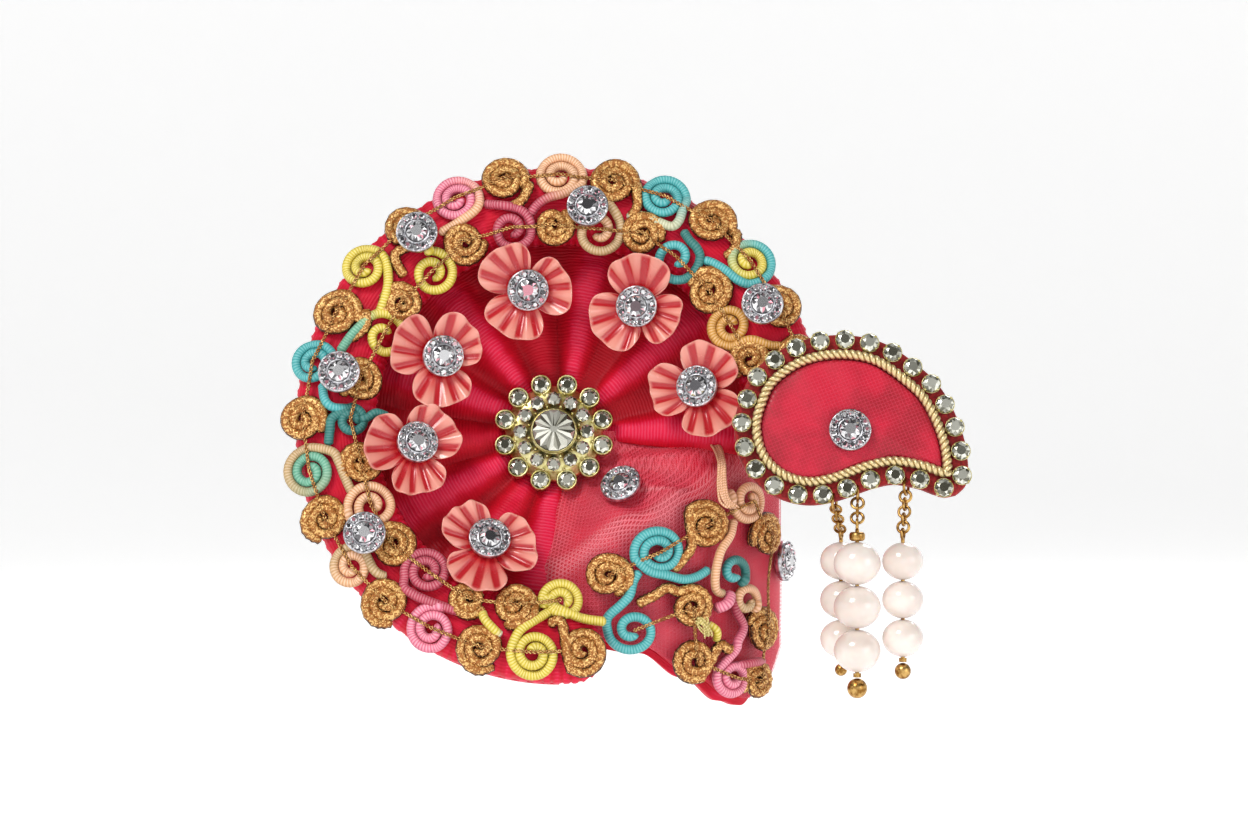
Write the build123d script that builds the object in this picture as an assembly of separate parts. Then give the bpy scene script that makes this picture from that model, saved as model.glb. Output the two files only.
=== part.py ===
from build123d import *
import math
import os

import numpy as np

os.makedirs("parts", exist_ok=True)

# Small ornamental pagdi crown for a deity figure, in millimetres. +X is the
# side with the paisley ornament, -Y is the front, +Z is up. The origin is the
# roof of the head hollow, where the figure's head sits.

# Driving sizes
disc_radius = 41.0
disc_x = -8.0
disc_y = -24.0
disc_z = 5.0
lean = 13.0
dish_depth = 8.0
cloth = 1.4
pleat_height = 2.3
stud_radius = 3.6
fan_start = -1.0
fan_end = 262.0
rim_width = 12.6
rim_height = 7.2
rim_start = -6.0
rim_end = 281.0
band_radius = 27.0
band_height = 40.0
cap_wall = 1.8
net_thickness = 1.0
cord = 1.4
flower_diameter = 14.6
flower_plastic = 0.8
flower_cup = 2.4
flower_height = 9.2
flower_tilt = 16.0
button_diameter = 6.5
button_height = 1.7
stone_share = 0.54
brooch_diameter = 19.0
brooch_plate = 1.2
kalgi_length = 30.0
kalgi_board = 1.6
panel_thickness = 0.6
rope_diameter = 1.5
kalgi_stone = 2.8
kalgi_stones = 25
pearl_diameter = 7.1
pearl_flat = 0.91
thread_diameter = 0.6
thread_hole = 0.9
link_wire = 0.45
gap = 0.15
roof_height = 1.8

brim_level = -rim_height / 2 - 0.3
curl_height = cord * 1.125
trim_level = rim_height / 2 + curl_height + 1.4

disc_plane = Plane(
    origin=(disc_x, disc_y, disc_z),
    x_dir=(1, 0, 0),
    z_dir=(0, -math.cos(math.radians(lean)), math.sin(math.radians(lean))),
)


def on_disc(across, up, out):
    """Point of the part from the disc's own plane: across, up and out towards the front."""
    tilt = math.radians(lean)
    return np.array(
        [
            disc_x + across,
            disc_y + up * math.sin(tilt) - out * math.cos(tilt),
            disc_z + up * math.cos(tilt) + out * math.sin(tilt),
        ]
    )


def on_band(turn, radius, height):
    """Point round the head band: turn is 0 at the front and grows towards +X."""
    angle = math.radians(turn)
    return np.array([radius * math.sin(angle), -radius * math.cos(angle), height])


def eased(table, key, column):
    """Value of one column at key, eased by a cosine between the table's rows."""
    for low, high in zip(table, table[1:]):
        if key <= high[0]:
            share = max(0.0, (key - low[0]) / (high[0] - low[0]))
            smooth = (1 - math.cos(math.pi * share)) / 2
            return low[column] + (high[column] - low[column]) * smooth
    return table[-1][column]


def faceted(triangles):
    """One solid bounded by the given triangles."""
    faces = [Face(Wire.make_polygon([tuple(map(float, p)) for p in t])) for t in triangles]
    return Solid(Shell(faces))


def strip(first, second, closed):
    """Triangles between two rows of points, leaving out those that shrink to a line."""
    count = len(first)
    found = []
    for i in range(count if closed else count - 1):
        j = (i + 1) % count
        for t in ((first[i], second[i], second[j]), (first[i], second[j], first[j])):
            area = np.linalg.norm(np.cross(t[1] - t[0], t[2] - t[0]))
            if area > 1e-6:
                found.append(t)
    return found


def cloth_sheet(grid, thickness, closed=False):
    """Solid of even thickness about a middle surface given as rows of points."""
    rows = np.array(grid)
    if closed:
        ahead, behind = np.roll(rows, -1, 1), np.roll(rows, 1, 1)
        along = ahead - behind
    else:
        along = np.gradient(rows, axis=1)
    normal = np.cross(along, np.gradient(rows, axis=0))
    length = np.linalg.norm(normal, axis=2, keepdims=True)
    normal = normal / np.maximum(length, 1e-9)
    front, back = rows + normal * thickness / 2, rows - normal * thickness / 2
    triangles = []
    for i in range(len(rows) - 1):
        triangles += strip(front[i], front[i + 1], closed)
        triangles += strip(back[i + 1], back[i], closed)
    triangles += strip(back[0], front[0], closed)
    triangles += strip(front[-1], back[-1], closed)
    if not closed:
        triangles += strip(front[:, 0], back[:, 0], False)
        triangles += strip(back[:, -1], front[:, -1], False)
    return faceted(triangles)


def tube(rings, closed=False):
    """Solid through rings of points, closed on itself or capped at both ends."""
    triangles = []
    count = len(rings)
    for i in range(count if closed else count - 1):
        triangles += strip(rings[i], rings[(i + 1) % count], True)
    if not closed:
        for ring, turned in ((rings[0], True), (rings[-1], False)):
            middle = ring.mean(axis=0)
            for a, b in zip(ring, np.roll(ring, -1, 0)):
                triangles.append((middle, b, a) if turned else (middle, a, b))
    return faceted(triangles)


# Rolled rim: an oval roll that thins where it meets the flap

# turn, width share, height share, centre's share of rim_height below the rim plane
rim_table = [
    (rim_start, 0.80, 0.80, 0.05),
    (10, 1.00, 1.00, 0.00),
    (258, 1.00, 1.00, 0.00),
    (270, 0.96, 0.84, 0.05),
    (rim_end, 0.84, 0.50, 0.09),
]
rim_fullness = 2.5
rim_steps = 49
rim_sides = 12


def rim_section(turn):
    """Half width, half height, centre radius and centre level of the roll at a turn."""
    half_width = rim_width / 2 * eased(rim_table, turn, 1)
    half_height = rim_height / 2 * eased(rim_table, turn, 2)
    return half_width, half_height, disc_radius - half_width, -rim_height * eased(rim_table, turn, 3)


def rim_roll():
    """Roll as an even tube whose section is a full oval, squarer than an ellipse."""
    rings = []
    for turn in np.linspace(rim_start, rim_end, rim_steps):
        half_width, half_height, middle, level = rim_section(turn)
        angle = math.radians(turn)
        ring = []
        for side in range(rim_sides):
            around = 2 * math.pi * side / rim_sides
            cosine, sine = math.cos(around), math.sin(around)
            power = 2 / rim_fullness
            radius = middle + half_width * math.copysign(abs(cosine) ** power, cosine)
            out = level + half_height * math.copysign(abs(sine) ** power, sine)
            ring.append(on_disc(radius * math.cos(angle), radius * math.sin(angle), out))
        rings.append(np.array(ring))
    return tube(rings)


def on_rim(turn, radius, lift):
    """Location on the roll's front, its Z axis along the surface normal, lifted clear of it."""
    half_width, half_height, middle, level = rim_section(turn)
    share = (radius - middle) / half_width
    rise = max(0.1, 1 - abs(share) ** rim_fullness) ** (1 / rim_fullness)
    fall = abs(share) ** (rim_fullness - 1) * rise ** (1 - rim_fullness)
    slope = -half_height / half_width * math.copysign(fall, share)
    steep = math.degrees(math.atan(slope))
    out = level + half_height * rise
    spot = disc_plane.location * Location((0, 0, 0), (0, 0, turn))
    spot = spot * Location((radius, 0, out), (0, -steep, 0))
    return spot * Location((0, 0, lift))


# Pleated fan: ridges run from the middle to the rim between deep valleys

# ridge's turn, height share
pleats = [
    (fan_start, 1.00),
    (40, 0.95),
    (79, 0.90),
    (104, 0.55),
    (130, 0.90),
    (160, 1.00),
    (186, 0.70),
    (210, 0.95),
    (238, 0.80),
    (fan_end, 1.00),
]
# radius share, level share of dish_depth, pleat share
fan_table = [
    (0.00, -1.00, 0.00),
    (0.18, -0.97, 0.06),
    (0.28, -0.88, 0.55),
    (0.45, -0.76, 1.00),
    (0.60, -0.62, 0.75),
    (0.675, -0.50, 0.10),
    (0.70, 0.00, 0.00),
]
fan_radii = [0.10, 0.19, 0.28, 0.37, 0.47, 0.57, 0.65, 0.70, 0.985]
fan_step = 3.8


def pleat_share(turn):
    """Height of the pleats at a turn: rounded ridges, sharp valleys half way between."""
    for (low, low_height), (high, high_height) in zip(pleats, pleats[1:]):
        if turn <= high:
            share = (turn - low) / (high - low)
            height = low_height + (high_height - low_height) * share
            return height * (abs(math.cos(math.pi * share)) ** 0.8 * 1.5 - 0.5)
    return pleats[-1][1]


def fan_level(radius, turn):
    """How far the fan's cloth stands out from the rim plane."""
    share = radius / disc_radius
    if share >= fan_table[-1][0]:
        return brim_level - cloth / 2
    flat = brim_level - cloth / 2
    level = eased(fan_table, share, 1) * dish_depth
    if share > fan_table[-2][0]:
        ease = (share - fan_table[-2][0]) / (fan_table[-1][0] - fan_table[-2][0])
        level = fan_table[-2][1] * dish_depth * (1 - ease) + flat * ease
    return min(level, flat) + pleat_height * eased(fan_table, share, 2) * pleat_share(turn)


def satin_fan():
    grid = []
    count = round((fan_end - fan_start) / fan_step) + 1
    for share in fan_radii:
        radius = share * disc_radius
        row = []
        for turn in np.linspace(fan_start, fan_end, count):
            angle = math.radians(turn)
            out = fan_level(radius, turn)
            row.append(on_disc(radius * math.cos(angle), radius * math.sin(angle), out))
        grid.append(row)
    return cloth_sheet(grid, cloth)


# Head cap: a wall round the head with a sloping ridge in front and a dipping foot

# turn, top share, foot share, both of band_height
band_table = [
    (-180, -0.05, -0.62),
    (-100, -0.15, -0.62),
    (-60, -0.33, -0.65),
    (-22, -0.475, -0.71),
    (9, -0.275, -0.77),
    (25, -0.18, -0.87),
    (40, -0.105, -0.967),
    (49, -0.08, -0.99),
    (60, -0.07, -0.92),
    (75, -0.055, -0.80),
    (90, -0.05, -0.75),
    (120, -0.05, -0.68),
    (180, -0.05, -0.62),
]
cap_steps = 40
# share of the radius, share of the rise from the wall's top to the roof
roof_table = [(0.96, 0.03), (0.80, 0.30), (0.60, 0.58), (0.34, 0.87), (0.05, 1.0)]
wall_shares = [0.0, 0.3, 0.62, 0.92]


def band_top(turn):
    return eased(band_table, turn, 1) * band_height


def band_foot(turn):
    return eased(band_table, turn, 2) * band_height


def head_cap():
    turns = [-180 + 360 * i / cap_steps for i in range(cap_steps)]
    skins = []
    for inset in (0.0, cap_wall):
        rows = []
        for share in wall_shares:
            row = []
            for turn in turns:
                foot, top = band_foot(turn), band_top(turn) - inset
                waist = 0.35 * math.sin(math.pi * share)
                row.append(on_band(turn, band_radius - inset - waist, foot + (top - foot) * share))
            rows.append(np.array(row))
        for reach, rise in roof_table:
            row = []
            for turn in turns:
                top = band_top(turn) - inset
                roof = roof_height - inset
                row.append(on_band(turn, (band_radius - inset) * reach, top + (roof - top) * rise))
            rows.append(np.array(row))
        skins.append(rows)
    outer, inner = skins
    triangles = []
    for low, high in zip(outer, outer[1:]):
        triangles += strip(low, high, True)
    for low, high in zip(inner, inner[1:]):
        triangles += strip(high, low, True)
    triangles += strip(inner[0], outer[0], True)
    for row, turned in ((outer[-1], False), (inner[-1], True)):
        middle = row.mean(axis=0)
        for a, b in zip(row, np.roll(row, -1, 0)):
            triangles.append((middle, b, a) if turned else (middle, a, b))
    return faceted(triangles)


# Net: drawn from under the brooch over the wedge, over the ridge and down the flap

net_start = 265.0
net_finish = 353.0
net_ridge_start = -23.0
net_ridge_finish = 74.0
net_middle = 9.2
net_columns = 26
net_rows = 8
net_wall_rows = 6
net_puff = 2.6
net_lift = 7.5


net_stand = 0.5 + net_thickness / 2


def net_point(u, s):
    """Point of the net over the wedge: u across from left to right, s out to the ridge."""
    angle = math.radians(net_start + (net_finish - net_start) * u)
    inner = on_disc(net_middle * math.cos(angle), net_middle * math.sin(angle), -dish_depth * 0.88)
    turn = net_ridge_start + (net_ridge_finish - net_ridge_start) * u
    lift = net_lift * max(0.0, (u - 0.55) / 0.45) ** 1.5
    ridge = on_band(turn, band_radius + net_stand, band_top(turn) + net_stand + 0.5 + lift)
    lens = net_puff * math.sin(math.pi * s) * math.exp(-(((u - 0.72) / 0.2) ** 2))
    ripple = 0.35 * math.sin(math.pi * s) * math.sin(9 * math.pi * u)
    return inner + (ridge - inner) * s + on_disc(0, 0, lens + ripple) - on_disc(0, 0, 0)


def net_drape():
    grid = []
    for i in range(net_rows):
        grid.append([net_point(u, i / (net_rows - 1)) for u in np.linspace(0, 1, net_columns)])
    for i in range(1, net_wall_rows):
        s = i / (net_wall_rows - 1)
        row = []
        for u in np.linspace(0, 1, net_columns):
            turn = net_ridge_start + (net_ridge_finish - net_ridge_start) * u
            top, foot = net_point(u, 1)[2] - 1.4, band_foot(turn) + 1.2
            fold = 0.18 * math.sin(11 * math.pi * u) * math.sin(math.pi * s)
            row.append(on_band(turn, band_radius + net_stand + 0.2 + fold, top + (foot - top) * s))
        grid.append(row)
    return cloth_sheet(grid, net_thickness)


def on_net(u, s, lift):
    """Location on the net's front, its Z axis along the surface normal."""
    middle = net_point(u, s)
    across = net_point(u + 0.06, s) - net_point(u - 0.06, s)
    out = net_point(u, s + 0.06) - net_point(u, s - 0.06)
    normal = np.cross(across, out)
    normal *= -math.copysign(1, normal[1]) / np.linalg.norm(normal)
    spot = middle + normal * (net_thickness / 2 + lift)
    return Plane(origin=tuple(spot), x_dir=tuple(across), z_dir=tuple(normal)).location


# Braid curls: coiled cord, a low disc with two raised turns

def curl(diameter):
    """One coil of cord lying on its back at the origin."""
    wire = cord / 2
    outer_turn = diameter / 2 - wire
    inner_turn = outer_turn * 0.45
    profile = Pos(outer_turn / 2, wire) * Rectangle(outer_turn, wire)
    profile += Pos(outer_turn, wire) * Circle(wire)
    profile += Pos(inner_turn, wire * 1.25) * Circle(wire)
    half = Pos(diameter, 0) * Rectangle(2 * diameter, 4 * cord)
    coil = revolve(Plane.XZ * (profile & half), Axis.Z)
    return coil.solid()


# turn, diameter share, both rows of the rim
outer_curls = [
    (1.5, 1.00), (14, 0.95), (26.7, 1.00), (39.8, 1.00), (52.5, 1.05), (65.0, 1.00), (77.5, 1.05),
    (90.2, 1.08), (103, 1.05), (115.5, 1.05), (128.5, 1.0), (141.8, 1.05), (155, 1.05), (167.7, 1.00), (180, 1.02),
    (192.5, 0.98), (204.5, 1.02), (216.8, 1.00), (228.5, 1.02), (240.5, 1.05), (252.5, 1.05), (264.0, 0.98),
    (274.5, 0.90),
]
inner_curls = [
    (19.5, 0.95), (32.0, 1.00), (44.7, 1.00), (57.3, 0.95), (69.8, 0.95), (82.3, 0.95), (94.6, 0.95),
    (107.0, 0.98), (119.6, 1.00), (132.2, 1.00), (144.8, 0.95), (157.2, 0.98), (169.5, 0.97),
    (181.0, 0.85), (198.0, 0.92), (210.0, 0.95), (222.3, 1.00), (234.8, 0.97), (247.2, 0.95), (259.6, 1.00),
]
curl_diameter = 7.2
inner_curl_diameter = 6.25
outer_row = 0.928
inner_row = 0.752
# turn round the band, height share of band_height, diameter share
flap_curls = [
    (-1, -0.475, 0.96), (14, -0.375, 0.98), (30, -0.285, 1.02), (46, -0.175, 0.90), (57, -0.32, 0.95),
    (9, -0.69, 0.90), (24, -0.62, 0.85), (43, -0.455, 0.85),
    (25, -0.80, 0.92), (41, -0.855, 0.85), (57, -0.74, 0.95), (53, -0.925, 0.72),
]


def curl_row(table, row_share, diameter):
    """Coils of one row of the rim, each flat on the roll."""
    spots = [on_rim(turn, disc_radius * row_share, 2 * gap) for turn, size in table]
    return [spot * curl(diameter * size) for spot, (turn, size) in zip(spots, table)]


def band_location(turn, height, lift):
    """Location on the flap's outside, its Z axis pointing straight out from the band."""
    spot = on_band(turn, band_radius + lift, height)
    return Plane(
        origin=tuple(spot),
        x_dir=(math.cos(math.radians(turn)), math.sin(math.radians(turn)), 0),
        z_dir=(math.sin(math.radians(turn)), -math.cos(math.radians(turn)), 0),
    ).location


net_face = net_stand + net_thickness / 2 + 0.4


def flap_row():
    spots = []
    for turn, height, size in flap_curls:
        spot = band_location(turn, height * band_height, net_face + gap)
        spots.append(spot * curl(curl_diameter * size))
    return spots


# Flowers: three ruffled petals moulded in one piece, with a peg under the middle

# turn, radius share, turn of the first petal, height share
flowers = [
    (103.8, 0.52, 130, 1.00),
    (56.1, 0.53, 90, 1.00),
    (151.6, 0.51, 160, 1.00),
    (12.9, 0.54, 60, 1.03),
    (190.5, 0.55, 165, 1.08),
    (240.9, 0.54, 130, 1.03),
]
flower_steps = 30
flower_rings = [0.0, 0.45, 1.0]
peg_reach = 2.2


def flower_peg(turn, radius, level):
    """Length of the peg from the petals' back down to the satin round it."""
    near = [(turn + t, radius + r) for t in (-6, 0, 6) for r in (-peg_reach, 0, peg_reach)]
    satin = max(fan_level(r, t) for t, r in near) + cloth / 2
    return max(0.3, level - flower_plastic - satin - 2 * gap)


def flower(turn, radius_share, petal_turn, height_share):
    spot = disc_plane.location * Location((0, 0, 0), (0, 0, turn))
    level = flower_height * height_share - dish_depth
    spot = spot * Location((disc_radius * radius_share, 0, level), (0, -flower_tilt, petal_turn - turn))
    peg_length = flower_peg(turn, disc_radius * radius_share, level)
    front, back = [], []
    for ring in flower_rings:
        front_row, back_row = [], []
        for i in range(flower_steps):
            angle = 2 * math.pi * i / flower_steps
            lobe = abs(math.cos(1.5 * angle)) ** 0.33
            reach = flower_diameter / 2 * (0.5 + 0.5 * lobe) * ring
            rise = flower_cup * (2 * reach / flower_diameter) ** 2
            ruffle = 0.28 * ring ** 2 * math.cos(12 * angle) * lobe
            peg = peg_length * max(0.0, 1 - ring / flower_rings[1])
            x, y = reach * math.cos(angle), reach * math.sin(angle)
            front_row.append(np.array([x, y, rise + ruffle]))
            back_row.append(np.array([x, y, rise + ruffle - flower_plastic - peg]))
        front.append(front_row)
        back.append(back_row)
    triangles = []
    for i in range(len(flower_rings) - 1):
        triangles += strip(front[i], front[i + 1], True)
        triangles += strip(back[i + 1], back[i], True)
    triangles += strip(front[-1], back[-1], True)
    return spot * faceted(triangles), spot * Location((0, 0, 0))


# Rhinestone buttons and cut stones

def cut_stone(diameter, depth, sides=8):
    """Round-cut stone: flat table, sloping crown, girdle and a blunt point below."""
    girdle = depth * 0.55
    rings = []
    for reach, height in ((0.56, depth), (1.0, girdle + 0.06), (1.0, girdle - 0.06), (0.3, 0.0)):
        ring = []
        for i in range(sides):
            angle = 2 * math.pi * (i + 0.5) / sides
            radius = diameter / 2 * reach
            ring.append((radius * math.cos(angle), radius * math.sin(angle), height))
        rings.append(ring)
    faces = []
    for low, high in zip(rings, rings[1:]):
        for i in range(sides):
            j = (i + 1) % sides
            faces.append(Face(Wire.make_polygon([low[i], high[i], high[j], low[j]])))
    faces.append(Face(Wire.make_polygon(rings[0])))
    faces.append(Face(Wire.make_polygon(rings[-1])))
    return Solid(Shell(faces))


def setting(diameter, height, stone):
    """Round setting: a dished plate with a beaded rim and a pocket for the centre stone."""
    bead = (diameter - stone) / 4
    profile = Pos(diameter / 4, height * 0.3) * Rectangle(diameter / 2, height * 0.6)
    profile += Pos(diameter / 2 - bead, height * 0.6) * Circle(bead * 0.8)
    half = Pos(diameter, height) * Rectangle(2 * diameter, 2 * height)
    body = revolve(Plane.XZ * (profile & half), Axis.Z)
    pocket = Pos(0, 0, height * 0.4 + height / 2) * Cylinder(stone / 2 + gap, height)
    return (body - pocket).solid()


# turn, radius share of the buttons on the rim
rim_buttons = [(128.0, 0.875), (82.5, 0.80), (28.3, 0.865), (169.8, 0.835), (213.0, 0.853)]
net_button = (0.40, 0.52)
side_button = (67.0, -0.43)
kalgi_button = (0.473, 0.213)


def button_spots(flower_spots):
    spots = [spot * Location((0, 0, 0.62)) for spot in flower_spots]
    for turn, share in rim_buttons:
        turned = disc_plane.location * Location((0, 0, 0), (0, 0, turn))
        spots.append(turned * Location((disc_radius * share, 0, trim_level)))
    spots.append(on_net(net_button[0], net_button[1], button_height * 0.8))
    spots.append(band_location(side_button[0], side_button[1] * band_height, net_face + 0.2))
    spots.append(kalgi_spot(kalgi_button[0], kalgi_button[1], kalgi_face + panel_thickness + 3 * gap))
    return spots


# Brooch: a plate of cups on a back stud, with three sizes of stone

brooch_stones = 12
outer_cup_row = 0.415
inner_cup_row = 0.275
outer_stone = 2.4
inner_stone = 2.1
centre_stone = 6.0
brooch_level = -dish_depth + 2.15
brooch_stud = 1.0
brooch_across = -1.0
brooch_up = -0.8


def brooch():
    place = disc_plane.location * Location((brooch_across, brooch_up, brooch_level))
    body = Pos(0, 0, brooch_plate / 2) * Cylinder(brooch_diameter * 0.40, brooch_plate)
    body += Pos(0, 0, -brooch_stud / 2) * Cylinder(stud_radius, brooch_stud)
    inner_top = brooch_plate + 1.0
    body += Pos(0, 0, inner_top / 2) * Cylinder(brooch_diameter * 0.335, inner_top)
    body += Pos(0, 0, inner_top / 2 + 0.5) * Cylinder(centre_stone / 2 + 0.55, inner_top + 1.0)
    outer_spots, inner_spots = [], []
    for i in range(brooch_stones):
        turned = Rot(0, 0, 360 * (i + 0.5) / brooch_stones)
        outer_spots.append(turned * Pos(brooch_diameter * outer_cup_row, 0, 0))
        inner_spots.append(Rot(0, 0, 360 * i / brooch_stones) * Pos(brooch_diameter * inner_cup_row, 0, 0))
    for spot in outer_spots:
        body += spot * Pos(0, 0, brooch_plate * 0.75) * Cylinder(outer_stone / 2 + 0.45, brooch_plate * 1.5)
    for spot in outer_spots:
        body -= spot * Pos(0, 0, brooch_plate * 0.6 + 2) * Cylinder(outer_stone / 2 + gap, 4)
    for spot in inner_spots:
        body -= spot * Pos(0, 0, inner_top - 0.6 + 2) * Cylinder(inner_stone / 2 + gap, 4)
    body -= Pos(0, 0, inner_top - 0.4 + 2) * Cylinder(centre_stone / 2 + gap, 4)
    small = [s * Pos(0, 0, inner_top - 0.45) * cut_stone(inner_stone, 1.0) for s in inner_spots]
    large = [s * Pos(0, 0, brooch_plate * 0.6 + gap) * cut_stone(outer_stone, 1.2) for s in outer_spots]
    centre = Pos(0, 0, inner_top - 0.4 + gap) * cut_stone(centre_stone, 2.2, 12)
    return (
        place * body.solid(),
        [place * s for s in small],
        [place * s for s in large],
        place * centre,
    )


# Paisley ornament: a board with a rope outline and a row of stones round its edge

# across share, up share, of kalgi_length, round the rope line from its left end
paisley = [
    (0.000, 0.240), (0.030, 0.370), (0.090, 0.480), (0.235, 0.580), (0.415, 0.618), (0.600, 0.590),
    (0.755, 0.487), (0.865, 0.370), (0.945, 0.180), (0.965, 0.010), (0.940, 0.000), (0.845, 0.035),
    (0.700, 0.060), (0.560, 0.035), (0.375, -0.030), (0.245, -0.045), (0.120, 0.000), (0.030, 0.100),
]
kalgi_corner = (30.1, -9.9)
kalgi_level = rim_height / 2 + curl_height + 0.65
kalgi_face = kalgi_level + kalgi_board
paisley_steps = 4


def kalgi_spot(across, up, level):
    turned = Location((kalgi_corner[0] + across * kalgi_length, kalgi_corner[1] + up * kalgi_length, level))
    return disc_plane.location * turned


def paisley_line(offset):
    """Closed line round the paisley, pushed out by offset, eased through the table's points.

    Points that an inward push would carry across the tip are left out.
    """
    points = np.array([(x * kalgi_length, y * kalgi_length) for x, y in paisley])
    smooth = []
    count = len(points)
    for i in range(count):
        p0, p1, p2, p3 = (points[(i + k) % count] for k in (-1, 0, 1, 2))
        for k in range(paisley_steps):
            t = k / paisley_steps
            smooth.append(
                0.5 * (2 * p1 + (p2 - p0) * t + (2 * p0 - 5 * p1 + 4 * p2 - p3) * t * t)
                + 0.5 * (3 * p1 - p0 - 3 * p2 + p3) * t ** 3
            )
    line = np.array(smooth)
    along = np.roll(line, -2, 0) - np.roll(line, 2, 0)
    along /= np.linalg.norm(along, axis=1, keepdims=True)
    outward = np.stack([-along[:, 1], along[:, 0]], axis=1)
    pushed = line + outward * offset
    if offset >= 0:
        return pushed
    near = np.linalg.norm(pushed[:, None] - line[None], axis=2).min(axis=1)
    return pushed[near > 0.97 * abs(offset)]


def spaced(line, count, start=0.0):
    """Points at even distances round a closed line."""
    closed = np.vstack([line, line[:1]])
    run = np.concatenate([[0], np.cumsum(np.linalg.norm(np.diff(closed, axis=0), axis=1))])
    at = (np.arange(count) + start) * run[-1] / count
    return np.stack([np.interp(at, run, closed[:, k]) for k in (0, 1)], axis=1)


stone_row = rope_diameter / 2 + kalgi_stone / 2 + 0.1
stone_start = 0.13
board_edge = stone_row + kalgi_stone * 0.38


def kalgi_place(level):
    return disc_plane.location * Location((kalgi_corner[0], kalgi_corner[1], level))


def flat_plate(line, thickness):
    outline = Face(Wire.make_polygon([(x, y, 0) for x, y in spaced(line, len(line))]))
    return extrude(outline, thickness, dir=(0, 0, 1)).solid()


def kalgi_pieces():
    board = flat_plate(paisley_line(board_edge), kalgi_board)
    for across, up in hook_holes():
        board -= Pos(across, up, 0) * Cylinder(hole_radius, 4 * kalgi_board)
    panel = flat_plate(paisley_line(-rope_diameter / 2 - gap), panel_thickness)
    line = spaced(paisley_line(0), 60)
    along = np.roll(line, -1, 0) - np.roll(line, 1, 0)
    along /= np.linalg.norm(along, axis=1, keepdims=True)
    rings = []
    for point, way in zip(line, along):
        ring = []
        for k in range(6):
            angle = 2 * math.pi * k / 6
            side = rope_diameter / 2 * math.cos(angle)
            x, y = point[0] + way[1] * side, point[1] - way[0] * side
            ring.append(np.array([x, y, rope_diameter / 2 * (1 + math.sin(angle))]))
        rings.append(np.array(ring))
    rope = tube(rings, closed=True)
    row = spaced(paisley_line(stone_row), kalgi_stones, stone_start)
    stones = [Pos(x, y, 0) * cut_stone(kalgi_stone, 1.5) for x, y in row]
    lifted = kalgi_place(kalgi_face + gap)
    return (
        kalgi_place(kalgi_level) * board.solid(),
        lifted * panel,
        lifted * rope,
        [lifted * stone for stone in stones],
    )


# Pearl drops: pearls on headed pins, hung from the board's lower edge by chains

hook_radius = 1.25
hole_radius = 0.88
eye_radius = 0.75
link_radius = 0.95
link_play = 0.56
end_bead = 0.95
crimp_radius = 1.2
# stone before the hook, string across, string front, top pearl down, diameter share, end bead share,
# crimp bead's height above the top pearl
hook_rows = [
    (18, 37.2, -36.1, 21.5, 1.00, 1.60, 1.4),
    (16, 44.2, -34.9, 21.2, 0.88, 1.30, 0.0),
    (19, 35.2, -29.5, 21.4, 0.90, 1.00, 0.0),
]
pearls_each = 3
string_names = ["front", "right", "back"]


def hook_holes():
    """Holes in the board between two stones, one for each string."""
    places = spaced(paisley_line(board_edge - hook_radius + 0.1), kalgi_stones, stone_start + 0.5)
    return [places[row[0]] for row in hook_rows]


def pearl(diameter):
    """Slightly flattened drilled pearl."""
    tall = diameter * pearl_flat
    oval = Ellipse(diameter / 2, tall / 2) & Pos(diameter / 2, 0) * Rectangle(diameter, 2 * diameter)
    return (revolve(Plane.XZ * oval, Axis.Z) - Cylinder(thread_hole / 2, 2 * diameter)).solid()


def link(ring_radius, spot, along, turned):
    """Round link upright in the plane of the chain's slant, or turned a quarter about the chain."""
    aside = np.cross(along, [0.0, 0.0, 1.0])
    aside /= np.linalg.norm(aside)
    if turned:
        aside = np.cross(along, aside)
    plane = Plane(origin=tuple(spot), x_dir=tuple(along), z_dir=tuple(aside))
    return plane.location * Torus(ring_radius, link_wire / 2)


def chain(hook, eye):
    """An odd number of even links from the hook's ring to the pin's eye, each through the last."""
    span = np.linalg.norm(eye - hook)
    along = (eye - hook) / span
    free = span - hook_radius - eye_radius
    fits = [(abs((free + link_play * (n + 1)) / (2 * n) - link_radius), n) for n in (1, 3, 5, 7)]
    count = min(fits)[1]
    radius = (free + link_play * (count + 1)) / (2 * count)
    links = [link(hook_radius, hook, along, False)]
    at = hook_radius + radius - link_play
    for k in range(count):
        links.append(link(radius, hook + along * at, along, k % 2 == 0))
        at += 2 * radius - link_play
    return links, link(eye_radius, eye, along, False)


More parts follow.
